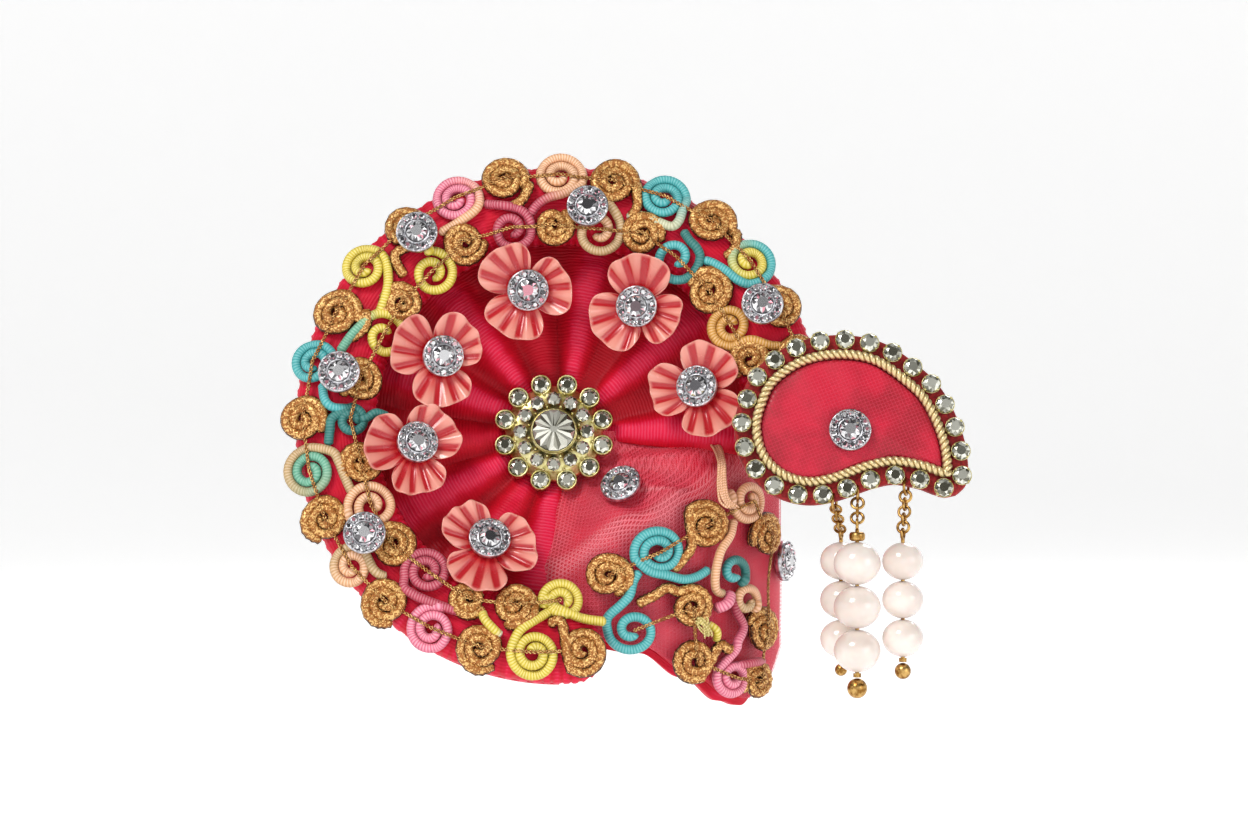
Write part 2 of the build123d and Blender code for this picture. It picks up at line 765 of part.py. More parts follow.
def drops():
    pearls, pins, links, ends = [], [], [], []
    down_board = on_disc(0, -1, 0) - on_disc(0, 0, 0)
    for row, place in zip(hook_rows, hook_holes()):
        number, x, y, down, size, end_share, crimp = row
        hole = on_disc(kalgi_corner[0] + place[0], kalgi_corner[1] + place[1], kalgi_level + kalgi_board / 2)
        diameter = pearl_diameter * size
        pitch = diameter * pearl_flat + gap
        levels = [disc_z - down - k * pitch for k in range(pearls_each)]
        pearls.append([Pos(x, y, level) * pearl(diameter) for level in levels])
        top = levels[0] + diameter * pearl_flat / 2
        bottom = levels[-1] - diameter * pearl_flat / 2
        eye = np.array([x, y, top + 2 * gap + crimp + link_wire / 2 + eye_radius])
        hook = hole + down_board * hook_radius
        made, loop = chain(hook, eye)
        links += made
        shaft_top = eye[2] - eye_radius + 0.05
        shaft_foot = bottom - gap - 0.5
        shaft = Cylinder(thread_diameter / 2, shaft_top - shaft_foot)
        shaft = Pos(x, y, (shaft_top + shaft_foot) / 2) * shaft
        head = Pos(x, y, bottom - gap - 0.3) * Cylinder(thread_diameter, 0.6)
        pin = shaft + head + loop
        if crimp:
            barrel = Cylinder(crimp_radius, crimp)
            barrel = fillet(barrel.edges().filter_by(GeomType.CIRCLE), crimp * 0.35)
            pin += Pos(x, y, top + gap + crimp / 2) * barrel
        pins.append(pin.solid())
        bead = end_bead * end_share
        ends.append(Pos(x, y, bottom - 2 * gap - 0.6 - bead) * Sphere(bead))
    return pearls, pins, links, ends


def write(name, shape):
    """Writes one node: a solid, or several loose solids together."""
    if isinstance(shape, list):
        shape = Compound(children=[piece for piece in shape])
    export_step(shape, f"parts/{name}.step")


write("satin_fan", satin_fan())
write("rim_roll", rim_roll())
write("head_cap", head_cap())
write("net_drape", net_drape())
write("curls_outer", curl_row(outer_curls, outer_row, curl_diameter))
write("curls_inner", curl_row(inner_curls, inner_row, inner_curl_diameter))
write("curls_flap", flap_row())

flower_spots = []
for number, row in enumerate(flowers, 1):
    piece, spot = flower(*row)
    flower_spots.append(spot)
    write(f"flower_{number}", piece)

button_stone = button_diameter * stone_share
button_settings = button_spots(flower_spots)
for number, spot in enumerate(button_settings, 1):
    write(f"button_{number}", spot * setting(button_diameter, button_height, button_stone))
write(
    "button_stones",
    [spot * Pos(0, 0, button_height * 0.4 + gap) * cut_stone(button_stone, 1.6) for spot in button_settings],
)

brooch_body, brooch_inner, brooch_outer, brooch_centre = brooch()
write("brooch_setting", brooch_body)
write("brooch_inner_stones", brooch_inner)
write("brooch_outer_stones", brooch_outer)
write("brooch_centre_stone", brooch_centre)

kalgi_plate, kalgi_cloth, kalgi_rope, kalgi_row = kalgi_pieces()
write("kalgi_board", kalgi_plate)
write("kalgi_panel", kalgi_cloth)
write("kalgi_rope", kalgi_rope)
write("kalgi_stones", kalgi_row)

pearl_strings, drop_pins, drop_links, drop_ends = drops()
for name, string, pin in zip(string_names, pearl_strings, drop_pins):
    for number, piece in enumerate(string, 1):
        write(f"pearl_{name}_{number}", piece)
    write(f"drop_pin_{name}", pin)
write("drop_links", drop_links)
write("drop_end_beads", drop_ends)
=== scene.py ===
import math

import bpy
import bmesh
import numpy as np
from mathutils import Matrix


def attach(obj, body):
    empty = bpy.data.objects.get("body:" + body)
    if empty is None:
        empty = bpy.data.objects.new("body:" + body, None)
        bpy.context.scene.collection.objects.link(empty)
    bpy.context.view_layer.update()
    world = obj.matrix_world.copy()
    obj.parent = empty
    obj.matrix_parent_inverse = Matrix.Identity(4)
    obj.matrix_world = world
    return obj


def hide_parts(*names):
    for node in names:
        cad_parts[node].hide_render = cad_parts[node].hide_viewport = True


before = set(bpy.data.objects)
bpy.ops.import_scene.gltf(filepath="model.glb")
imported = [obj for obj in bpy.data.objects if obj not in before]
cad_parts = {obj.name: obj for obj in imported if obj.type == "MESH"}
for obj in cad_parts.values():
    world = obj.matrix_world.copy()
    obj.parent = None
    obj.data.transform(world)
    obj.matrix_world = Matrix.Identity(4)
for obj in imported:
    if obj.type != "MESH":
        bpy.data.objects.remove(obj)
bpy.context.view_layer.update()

# Camera: level and square on, half a metre in front of the crown, as in the photograph. The
# stems of the braid are placed along its lines of sight.
view_distance = 0.500
lens = 93.1
sensor = 36.0
camera_place = (0.00195, -0.024 - view_distance, 0.00579)

camera = bpy.data.objects.new("camera", bpy.data.cameras.new("camera"))
camera.data.sensor_width = sensor
camera.data.lens = lens
camera.location = camera_place
camera.rotation_euler = (math.radians(90), 0, 0)
bpy.context.collection.objects.link(camera)
bpy.context.scene.camera = camera
bpy.context.scene.view_settings.view_transform = "Standard"

# Room: a wide pale bowl whose edge rises all round, so that no view shows an end of it, with
# three square lights and an even sky.
floor_level = -0.085
floor_flat = 1.6
floor_rise = 1.2
floor_sides = 96


def operator(operation, other_first=False):
    """Method of Wire that adds one Math node, for the wire and another value or wire."""
    def method(self, other):
        first, second = (other, self) if other_first else (self, other)
        return self.node("Math", {"operation": operation}, {0: first, 1: second})
    return method


class Wire:
    """One socket of a material. Sums written with it add Math nodes."""

    __add__ = __radd__ = operator("ADD")
    __sub__ = operator("SUBTRACT")
    __rsub__ = operator("SUBTRACT", True)
    __mul__ = __rmul__ = operator("MULTIPLY")
    __pow__ = operator("POWER")
    most = operator("MAXIMUM")

    def __init__(self, tree, socket=None):
        self.tree, self.socket = tree, socket

    def node(self, kind, settings=None, sockets=None, out=0):
        """Any node: its settings are set first, then its sockets' values or links."""
        made = self.tree.nodes.new("ShaderNode" + kind)
        for key, value in (settings or {}).items():
            setattr(made, key, value)
        for key, value in (sockets or {}).items():
            if isinstance(value, Wire):
                self.tree.links.new(value.socket, made.inputs[key])
            else:
                made.inputs[key].default_value = (*value, 1) if isinstance(value, tuple) else value
        return Wire(self.tree, made.outputs[out])

    def wave(self):
        """Sine, from 0 to 1."""
        return self.node("Math", {"operation": "SINE"}, {0: self}) * 0.5 + 0.5

    def between(self, low, high):
        """Smooth step from 0 at low to 1 at high."""
        return self.node("MapRange", {"interpolation_type": "SMOOTHSTEP"},
                         {"Value": self, 1: low, 2: high})

    def blend(self, first, second):
        """Colour that is first where this is 0 and second where it is 1."""
        return self.node("Mix", {"data_type": "RGBA"}, {0: self, 6: first, 7: second}, 2)

    def field(self, name, *parts):
        """The parts asked for, of 0 to 2, of a piece's own vector attribute."""
        vector = self.node("Attribute", {"attribute_name": name}, out=1)
        return [vector.node("SeparateXYZ", None, {0: vector}, part) for part in parts]

    def place(self):
        return self.node("TexCoord", out=3)

    def noise(self, scale, detail):
        sockets = {"Vector": self.place(), "Scale": scale, "Detail": detail}
        return self.node("TexNoise", None, sockets)


def material(name, look=None, **same):
    """Material whose even values are set on the shader; look(wire) gives what varies over it.

    A value of look named Bump is (height, distance in metres, strength).
    """
    made = bpy.data.materials.new(name)
    made.use_nodes = True
    tree = made.node_tree
    shader = tree.nodes["Principled BSDF"]
    for key, value in same.items():
        socket = shader.inputs[key.replace("_", " ")]
        socket.default_value = (*value, 1) if socket.type == "RGBA" else value
    if look:
        for key, value in look(Wire(tree)).items():
            if key == "Bump":
                height, distance, strength = value
                sockets = {"Height": height, "Distance": distance, "Strength": strength}
                key, value = "Normal", height.node("Bump", None, sockets)
            tree.links.new(value.socket, shader.inputs[key])
    return made


def grid_faces(rows, columns, wrap_rows=False, wrap_columns=False):
    """Four-cornered faces between neighbouring rows and columns of points."""
    i, j = np.meshgrid(np.arange(rows if wrap_rows else rows - 1),
                       np.arange(columns if wrap_columns else columns - 1), indexing="ij")
    i, j = i.ravel(), j.ravel()
    after, beside = (i + 1) % rows, (j + 1) % columns
    here, there = i * columns, after * columns
    return np.stack([here + j, here + beside, there + beside, there + j], axis=1).tolist()


def spun(radius, height, sides):
    """Rings of points round an axis, from columns of radius and height."""
    angle = np.linspace(0, 2 * np.pi, sides + 1)[:-1]
    return np.stack([radius * np.cos(angle), radius * np.sin(angle), height + 0 * angle], axis=2)


def piece(name, points, faces, finish, slot=None, nodes=(), smooth=True, outward=False, wall=0,
          **fields):
    """Object from points in millimetres, rows of them or one list, with fields point by point.

    A wall in millimetres gives a sheet its thickness. A piece with a slot rides on the root.
    """
    mesh = bpy.data.meshes.new(name)
    mesh.from_pydata((np.reshape(points, (-1, 3)) / 1000).tolist(), [], faces)
    for key, values in fields.items():
        values = np.asarray(values, np.float32)
        kind, part = {3: ("FLOAT_VECTOR", "vector"), 4: ("FLOAT_COLOR", "color")}[values.shape[-1]]
        mesh.attributes.new(key, kind, "POINT").data.foreach_set(part, values.ravel())
    if outward:
        loose = bmesh.new()
        loose.from_mesh(mesh)
        bmesh.ops.recalc_face_normals(loose, faces=loose.faces)
        loose.to_mesh(mesh)
        loose.free()
    mesh.polygons.foreach_set("use_smooth", np.full(len(mesh.polygons), smooth))
    mesh.materials.append(finish)
    made = bpy.data.objects.new(name, mesh)
    bpy.context.collection.objects.link(made)
    if wall:
        solid = made.modifiers.new("wall", "SOLIDIFY")
        solid.thickness = wall / 1000
        solid.offset = 0
    if slot:
        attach(made, "root")
        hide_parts(*nodes)
    return made


def bowl():
    """Rings of the floor: a flat disc whose edge turns up in a quarter circle."""
    run = np.linspace(0, 1, 13)[:, None] * np.pi / 2
    reach = np.vstack([[[0.02], [0.4], [0.9]], floor_flat + floor_rise * np.sin(run)])
    level = np.vstack([np.zeros((3, 1)), floor_rise * (1 - np.cos(run))]) + floor_level
    return spun(reach * 1000, level * 1000, floor_sides)


floor_paint = material("pale_paper", Base_Color=(0.86, 0.86, 0.86), Roughness=0.85,
                       Emission_Color=(1.0, 1.0, 1.0), Emission_Strength=0.5)
bowl_rings = bowl()
bowl_faces = grid_faces(*bowl_rings.shape[:2], wrap_columns=True)
bowl_faces.append(list(range(floor_sides))[::-1])
floor = piece("floor", bowl_rings, bowl_faces, floor_paint)


def softbox(name, place, size, power, colour=(1.0, 1.0, 1.0)):
    """Square area light that faces the crown."""
    light = bpy.data.lights.new(name, "AREA")
    light.shape = "SQUARE"
    light.size = size
    light.energy = power
    light.color = colour
    lamp = bpy.data.objects.new(name, light)
    lamp.location = place
    away = lamp.location.normalized()
    lamp.rotation_euler = away.to_track_quat("Z", "Y").to_euler()
    bpy.context.collection.objects.link(lamp)


softbox("key_light", (-0.55, -0.85, 0.95), 0.45, 9.5, (1.0, 0.98, 0.96))
softbox("fill_light", (0.95, -0.80, 0.25), 0.70, 2.4)
softbox("back_light", (0.35, 0.95, 0.90), 0.60, 5.0)

world = bpy.data.worlds.new("studio")
bpy.context.scene.world = world
world.use_nodes = True
sky = world.node_tree.nodes["Background"].inputs
sky["Color"].default_value = (1.0, 1.0, 1.0, 1)
sky["Strength"].default_value = 0.22

# Satin fan: one dish of crimson satin, pleated from the rim in to the brooch and stretched over
# the padding of the rim. Its ridges are narrow rolls and the cloth between them lies deep.
disc_radius = 41.0
disc_centre = np.array([-8.0, -24.0, 5.0])
lean = math.radians(13)
disc_axes = np.array([[1, 0, 0], [0, math.sin(lean), math.cos(lean)],
                      [0, -math.cos(lean), math.sin(lean)]])
dish_depth = 8.0
rim_height = 7.2
satin_thickness = 1.4
brim_level = -rim_height / 2 - 0.3
pleat_height = 2.3
pleat_width = 8.6
edge_curl = 8.0
fan_wall = 1.1
# ridge's turn, height share
pleats = np.array([(-1, 1.00), (40, 0.95), (79, 0.90), (104, 0.55), (130, 0.90), (160, 1.00),
                   (186, 0.70), (210, 0.95), (238, 0.80), (262, 1.00)])
# radius share, level share of dish_depth, pleat share
fan_table = [(0.00, -1.00, 0.00), (0.18, -0.97, 0.06), (0.28, -0.88, 0.55), (0.45, -0.76, 1.00),
             (0.60, -0.62, 0.75), (0.675, -0.50, 0.10), (0.70, 0.00, 0.00)]


def on_disc(across, up, out):
    """Points of the crown from the disc's own plane: across, up and out towards the front."""
    local = np.stack(np.broadcast_arrays(across, up, out), axis=-1)
    return disc_centre + local @ disc_axes


def polar(turn, radius, out):
    """Points on the disc's plane from a turn in degrees and a radius."""
    angle = np.radians(turn)
    return on_disc(radius * np.cos(angle), radius * np.sin(angle), out)


def eased(table, key, column):
    """One column of the table at key, eased by a cosine between the rows."""
    table = np.array(table, float)
    key = np.clip(key, table[0, 0], table[-1, 0])
    low = np.clip(np.searchsorted(table[:, 0], key, side="right") - 1, 0, len(table) - 2)
    share = (key - table[low, 0]) / (table[low + 1, 0] - table[low, 0])
    rise = table[low + 1, column] - table[low, column]
    return table[low, column] + rise * (1 - np.cos(np.pi * share)) / 2


def smooth_step(value, low, high):
    """0 below low, 1 above high and a smooth rise between them."""
    share = np.clip((value - low) / (high - low), 0, 1)
    return share * share * (3 - 2 * share)


def pleat_share(turn):
    """Height of the pleats: round rolls, 1 on a high ridge and -0.5 on the flat cloth between."""
    away = np.abs(np.asarray(turn)[..., None] - pleats[:, 0])
    return 1.5 * (pleats[:, 1] * np.exp(-((away / pleat_width) ** 2.5))).max(axis=-1) - 0.5


def fan_level(share, turn):
    """How far the satin stands out from the rim's plane: the dish's level plus the pleats."""
    flat = brim_level - satin_thickness / 2
    inner = eased(fan_table[:-1], share, 1) * dish_depth
    ease = np.clip((share - 0.675) / 0.025, 0, 1)
    level = np.minimum(inner * (1 - ease) + flat * ease, flat)
    pucker = 0.10 * np.sin(turn * 0.9 + 2.2 * np.sin(turn * 0.11)) * smooth_step(share, 0.45, 0.64)
    pleat = pleat_height * eased(fan_table, share, 2)
    return level + pleat * pleat_share(turn) + pucker * (1 - smooth_step(share, 0.67, 0.70))


def tint(red, green, blue):
    """Linear colour from the usual 0 to 255 values."""
    return tuple(((value / 255 + 0.055) / 1.055) ** 2.4 if value > 10 else value / 3295
                 for value in (red, green, blue))


def satin_look(light, middle, dark, rib):
    """Satin: fine weft ribs across the cloth, painted shade by the depth of the fold with lit and
    shaded copies of the crimson, painted highlights on the ridges' threads, soft streaks.
    """
    def look(wire):
        along, depth = wire.field("weave", 0, 2)
        drift = wire.noise(420, 3)
        thread = (along * (2 * math.pi / rib) + drift * 5.0).wave()
        streak = wire.noise(900, 4)
        # Painted shade: the deeper the fold, the darker the crimson; the ridges get the lit
        # crimson.
        shade = (depth + (drift - 0.5) * 0.3).between(0.30, 0.95)
        lit = (depth + (drift - 0.5) * 0.4).between(0.0, 0.45)
        colour = shade.blend(lit.blend(light, middle), dark)
        # Painted highlight: pale pink strokes on the threads of the ridges.
        thread_highlight = (thread * (0.55 + streak * 0.7) * (1 - lit)).between(0.25, 0.85)
        colour = (thread_highlight * 0.45).blend(colour, tint(240, 84, 118))
        return {"Base Color": colour,
                "Roughness": 0.40 + streak * 0.22,
                "Bump": (thread * 0.8 + streak * 0.4, 0.00007, 0.8)}
    return look


# Lit, middle and shaded crimson, for the painted light and shade of the satin.
crimson = satin_look(tint(226, 24, 66), tint(204, 12, 38), tint(166, 6, 22), 0.50)
fan_satin = material("crimson_satin", crimson, Sheen_Weight=0.12, Sheen_Roughness=0.35,
                     Sheen_Tint=(1.0, 0.3, 0.42), Specular_IOR_Level=0.35,
                     Specular_Tint=(1.0, 0.55, 0.65))


def satin_fan():
    """One grid of radius by turn; the depth of the folds goes into the weave for painted shade in
    the folds, and on the hidden outer part painted shade in bands stands in for gathers.
    """
    turn = np.linspace(pleats[0, 0] - edge_curl, pleats[-1, 0] + edge_curl, 460)
    share = np.concatenate([np.linspace(0.083, 0.66, 44), np.linspace(0.67, 0.72, 8),
                            np.linspace(0.76, 0.985, 6)])[:, None]
    radius = share * disc_radius + 0 * turn
    points = polar(turn, radius, fan_level(share + 0 * turn, turn + 0 * share))
    hidden = smooth_step(share, 0.68, 0.74)
    # gather: painted shade in bands round the hidden outer part; the shape there has no gathers.
    gather = 0.35 + 0.2 * np.sin(turn * 1.3 + 2 * np.sin(turn * 0.21))
    fold = (0.66 - 0.66 * pleat_share(turn)) * (1 - hidden) + gather * hidden
    weave = np.stack([radius, radius * np.radians(turn), np.clip(fold, 0, 1)], axis=2)
    return piece("satin_fan_cloth", points, grid_faces(*points.shape[:2]), fan_satin, "satin",
                 ["satin_fan"], wall=fan_wall, weave=weave)


satin_fan()

# Rolled rim: a long bolster of the same satin round the dish, stuffed with wadding. The cloth
# puckers across the roll where it is stitched down behind.
rim_width = 12.6
rim_fullness = 2.5
rim_rounding = 8.0
# turn, width share, height share, centre's share of rim_height below the rim's plane
rim_table = [(-6, 0.80, 0.80, 0.05), (10, 1.00, 1.00, 0.00), (258, 1.00, 1.00, 0.00),
             (270, 0.96, 0.84, 0.05), (281, 0.84, 0.50, 0.09)]


def rim_section(turn):
    """Half width, half height, centre's radius and centre's level of the roll at a turn."""
    from_end = np.minimum(turn - rim_table[0][0], rim_table[-1][0] - turn) / rim_rounding
    close = np.sqrt(1 - (1 - np.clip(from_end, 0.02, 1)) ** 2)
    full_width = rim_width / 2 * eased(rim_table, turn, 1)
    half_height = rim_height / 2 * eased(rim_table, turn, 2) * close
    return (full_width * (0.06 + 0.94 * close), half_height, disc_radius - full_width,
            -rim_height * eased(rim_table, turn, 3))


def rim_padding():
    """Superellipse section carried round the disc, with puckers that deepen down the sides."""
    turn = np.linspace(rim_table[0][0], rim_table[-1][0], 620)[:, None]
    around = np.linspace(0, 2 * np.pi, 41)[:-1][None]
    half_width, half_height, middle, level = rim_section(turn)
    cosine, sine = np.cos(around), np.sin(around)
    power = 2 / rim_fullness
    side = np.abs(cosine) ** 1.5
    pucker = 0.07 * np.sin(turn * 2.6 + 3 * np.sin(turn * 0.23)) + 0.03 * np.sin(turn * 6.1)
    swell = 0.982 + 0.9 * pucker * side / half_height
    radius = middle + half_width * np.sign(cosine) * np.abs(cosine) ** power * swell
    out = level + half_height * np.sign(sine) * np.abs(sine) ** power * swell
    points = polar(turn, radius, out)
    # The third part of the weave is painted shade: darker in the hollows of the puckers.
    weave = np.stack([radius, radius * np.radians(turn), 0.30 - 2.2 * pucker * side], axis=2)
    rows, columns = radius.shape
    faces = grid_faces(rows, columns, wrap_columns=True)
    for row, tip in ((0, rows * columns), (rows - 1, rows * columns + 1)):
        ring = row * columns + np.arange(columns)
        faces += np.stack([ring, np.roll(ring, -1), np.full(columns, tip)], axis=1).tolist()
    points = np.vstack([points.reshape(-1, 3), points[[0, -1]].mean(axis=1)])
    weave = np.vstack([weave.reshape(-1, 3), weave[[0, -1], 0]])
    return piece("rim_padding", points, faces, fan_satin, "satin", ["rim_roll"], outward=True,
                 weave=weave)


rim_padding()

# Head cap: the hidden back of the crown, a felt cap covered with the same satin. It is gathered
# to a point at the crown of the head and turned in at its foot. Its head hollow stays open.
band_radius = 27.0
band_height = 40.0
cap_wall = 1.8
roof_height = 1.8
# turn round the band, top share, foot share, both of band_height
band_table = [(-180, -0.05, -0.62), (-100, -0.15, -0.62), (-60, -0.33, -0.65),
              (-22, -0.475, -0.71), (9, -0.275, -0.77), (25, -0.18, -0.87), (40, -0.105, -0.967),
              (49, -0.08, -0.99), (60, -0.07, -0.92), (75, -0.055, -0.80), (90, -0.05, -0.75),
              (120, -0.05, -0.68), (180, -0.05, -0.62)]
# share of the radius, share of the rise from the wall's top to the roof
roof_table = [(0.05, 1.0), (0.34, 0.87), (0.60, 0.58), (0.80, 0.30), (0.96, 0.03), (1.0, 0.0)]
cap_gather = 0.20


def on_band(turn, radius, height):
    """Points round the head band: turn is 0 at the front and grows towards +X."""
    angle = np.radians(turn)
    parts = np.broadcast_arrays(radius * np.sin(angle), -radius * np.cos(angle), height)
    return np.stack(parts, axis=-1)


def band_top(turn):
    return eased(band_table, turn, 1) * band_height


def band_foot(turn):
    return eased(band_table, turn, 2) * band_height


def tube_faces(rows, columns):
    """Faces of a tube of rings with one flat face at each end."""
    last = (rows - 1) * columns
    ends = [list(range(columns))[::-1], list(range(last, last + columns))]
    return grid_faces(rows, columns, wrap_columns=True) + ends


def head_cap():
    """Outer and inner skin, each a wall that runs on into a roof, joined at the foot."""
    turn = np.linspace(-180, 180, 353)[:-1][None]
    rise = np.linspace(0, 1, 17)[:, None]
    reach = np.linspace(1, 0.015, 22)[1:, None]
    angle = np.radians(turn)
    gather = (0.5 * np.sin(19 * angle + 1.4 * np.sin(3 * angle))
              + 0.3 * np.sin(31 * angle + 2.2 * np.sin(5 * angle))
              + 0.2 * np.sin(53 * angle + 1.7 * np.sin(7 * angle)))
    lift = eased(roof_table, reach, 1)
    skins, folds = [], []
    for inset, depth in ((0.0, cap_gather), (cap_wall, 0.0)):
        foot, top = band_foot(turn), band_top(turn) - inset
        wall_fold = depth * gather * (0.35 + 0.65 * rise)
        radius = band_radius - inset - 0.35 * np.sin(np.pi * rise) + wall_fold - depth
        wall = on_band(turn, radius, foot + (top - foot) * rise)
        roof_fold = depth * gather * np.minimum(1, reach * 3)
        level = top + (roof_height - inset - top) * lift + roof_fold - depth
        roof = on_band(turn, (band_radius - inset) * reach, level)
        skins.append(np.vstack([wall, roof]))
        folds.append(np.vstack([wall_fold, roof_fold]))
    rows = np.vstack([skins[0][::-1], skins[1]])
    fold = np.vstack([folds[0][::-1], folds[1]])
    run = np.abs(np.arange(len(rows)) - len(skins[0]) + 0.5)[:, None] * 1.1
    # The third part of the weave is painted shade: darker in the hollows of the gathers, lighter
    # on their crests.
    weave = np.stack([run + 0 * fold, angle * band_radius + 0 * fold, 0.35 - 1.6 * fold], axis=2)
    return piece("head_cap_satin", rows, tube_faces(*rows.shape[:2]), fan_satin, "satin",
                 ["head_cap"], outward=True, weave=weave)


head_cap()

# Net: one length of soft red-pink net laid over crimson satin. It starts under the brooch, puffs
# over the wedge, crosses the ridge and hangs down the flap, where its foot is turned in.
net_start, net_finish = 265.0, 353.0
ridge_start, ridge_finish = -23.0, 74.0
net_middle = 9.2
net_tuck = 0.24
net_puff = 2.6
net_lift = 7.5
net_stand = 1.0
net_gap = 0.45
# turn across the wedge, how strongly the net is drawn into a fold there
net_folds = [(0.0, 0.5), (0.25, 0.25), (0.45, 0.2), (0.62, 0.5), (0.85, 1.0), (1.0, 0.6)]


def side_hem(across):
    """One over the net, falling away where its right-hand edge is drawn down on the cap."""
    return 1 - 0.8 * smooth_step(across, 0.97, 1.07)


def net_surface(across, out, fine=1.0):
    """The net from the brooch (out 0) to the ridge (1): across runs from left to right."""
    angle = np.radians(net_start + (net_finish - net_start) * across)
    inner = on_disc(net_middle * np.cos(angle), net_middle * np.sin(angle), -dish_depth * 0.88)
    turn = ridge_start + (ridge_finish - ridge_start) * across
    stand = net_stand * side_hem(across)
    lift = net_lift * np.maximum(0.0, (across - 0.55) / 0.45) ** 1.5 * side_hem(across)
    ridge = on_band(turn, band_radius + stand, band_top(turn) + stand + 0.5 + lift)
    swell = np.sin(np.pi * out)
    lens = net_puff * swell * np.exp(-(((across - 0.72) / 0.2) ** 2))
    ripple = 0.35 * swell * np.sin(9 * np.pi * across)
    pull = 0.07 * fine * eased(net_folds, across, 1) * np.sin(across * 30 - out * 4)
    height = lens + ripple + pull * np.minimum(1, 6 * out * (1 - out) + 0.3)
    return inner + (ridge - inner) * out[..., None] + height[..., None] * disc_axes[2]


def unit(vectors):
    return vectors / (np.linalg.norm(vectors, axis=-1, keepdims=True) + 1e-9)


def net_sheet(inset, rows, wall_rows, columns):
    """Wedge and flap in one sheet, moved in by inset from the net's own face."""
    across = np.linspace(0.01, 1.07, columns)[None] + np.zeros((rows, 1))
    out = np.linspace(-net_tuck, 1, rows)[:, None] + np.zeros((1, columns))
    wedge = net_surface(across, out)
    turn = ridge_start + (ridge_finish - ridge_start) * across[:1]
    fall = np.linspace(0, 1, wall_rows)[1:, None]
    top = wedge[-1:, :, 2] - 1.4
    foot = band_foot(turn) + 1.2
    fold = 0.22 * np.sin(11 * np.pi * across[:1] + fall * 2) * np.sin(np.pi * fall)
    stand = net_stand * side_hem(across[:1]) + 0.25
    flap = on_band(turn, band_radius + stand + fold, top + (foot - top) * fall)
    points = np.vstack([wedge, flap])
    side = unit(np.cross(np.gradient(points, axis=0), np.gradient(points, axis=1)))
    side *= -np.sign(side[..., 1].mean())
    steps = np.linalg.norm(np.diff(points, axis=0), axis=2)
    length = np.vstack([0 * turn, np.cumsum(steps, axis=0)])
    spread = np.vstack([across * (12 + 30 * out), across[:1] * 44 + 0 * fall])
    # crease, rolled and below mark where the net's threads get a painted highlight: on a fold
    # line, on the rolled ridge and just under it.
    crease = np.exp(-(((across - 0.33 - 0.17 * out) / 0.014) ** 2)) * smooth_step(out, 0.2, 0.4)
    crease *= 1 - smooth_step(out, 0.80, 0.95)
    rolled = 0.8 * np.exp(-(((out - 0.98) / 0.06) ** 2))
    below = 0.8 * np.exp(-((fall * 8) ** 2)) + 0 * turn
    weave = np.stack([length, spread, np.vstack([np.maximum(crease, rolled), below])], axis=2)
    return points - side * inset, weave


def net_look(wire):
    """Hexagonal net: fine threads and open holes, with a painted highlight that makes the threads
    a little paler on folds.
    """
    along, across, pale = wire.field("weave", 0, 1, 2)
    cell = 2 * math.pi / 0.62
    warp = ((along + across * 0.58) * cell).wave()
    weft = ((along - across * 0.58) * cell).wave()
    thread = warp.most(weft).most((across * cell * 1.1).wave())
    drift = wire.noise(260, 3)
    colour = (drift * 0.9).blend(tint(232, 52, 80), tint(248, 116, 134))
    # Painted highlight: pale pink threads where the weave marks a fold.
    colour = (pale * 0.8).blend(colour, tint(252, 150, 160))
    return {"Base Color": colour, "Alpha": thread.between(0.70, 0.98) * 0.55 + 0.14,
            "Roughness": 0.45 + drift * 0.2}


def lining_look(wire):
    drift = wire.noise(240, 3)
    thread = (wire.field("weave", 0)[0] * 15 + drift * 2).wave()
    colour = drift.between(0.3, 0.7).blend(tint(226, 22, 58), tint(190, 12, 42))
    return {"Base Color": colour, "Roughness": 0.4 + drift * 0.2, "Bump": (thread, 0.00004, 0.6)}


net_thread = material("red_net", net_look, Sheen_Weight=0.1, Sheen_Tint=(1.0, 0.5, 0.6))
lining_satin = material("lining_satin", lining_look)
# name, look, inset, rows of the wedge, rows of the flap, columns, wall
net_sheets = [("net_lining", lining_satin, net_gap, 40, 34, 150, 0.6),
              ("net_veil", net_thread, -0.15, 72, 60, 300, 0)]
for name, finish, *counts, wall in net_sheets:
    points, weave = net_sheet(*counts)
    sheet = piece(name, points, grid_faces(*points.shape[:2]), finish, "net", ["net_drape"],
                  wall=wall, weave=weave)

# Braid trim: coils and scrolls of gimp cord, some wrapped in coloured thread and some thicker ones
# in gold lurex, sewn in two rows on the rim and in a strip over the flap by a thin gold chain.
cord_radius = 0.74
gold_radius = 0.86
# thickness of the cord, distance between two turns and radius of the heart
cord_sizes = (cord_radius, 1.95, 0.50)
gold_sizes = (gold_radius, 1.72, 0.22)
tail_length = 2.6
stitch_lift = 2.05
coil_steps = 26
# radius of the flap's face, and the turns between which the cords follow the roll's own section
band_face = 29.4
rim_carry = (-2.0, 276.0)
picture_width = 1248.0
picture_centre = (624.0, 416.0)
picture_slope = lens / sensor * picture_width
eye = np.array(camera_place) * 1000
dyes = {"gold": tint(196, 120, 44), "teal": tint(64, 182, 184), "yellow": tint(228, 204, 36),
        "peach": tint(240, 178, 126), "pink": tint(238, 116, 146), "rose": tint(196, 48, 80),
        "green": tint(104, 182, 150), "amber": tint(216, 152, 28), "deep": tint(34, 128, 122),
        "sage": tint(204, 206, 166), "tan": tint(206, 168, 112), "leaf": tint(224, 204, 108),
        "white": tint(232, 228, 214)}
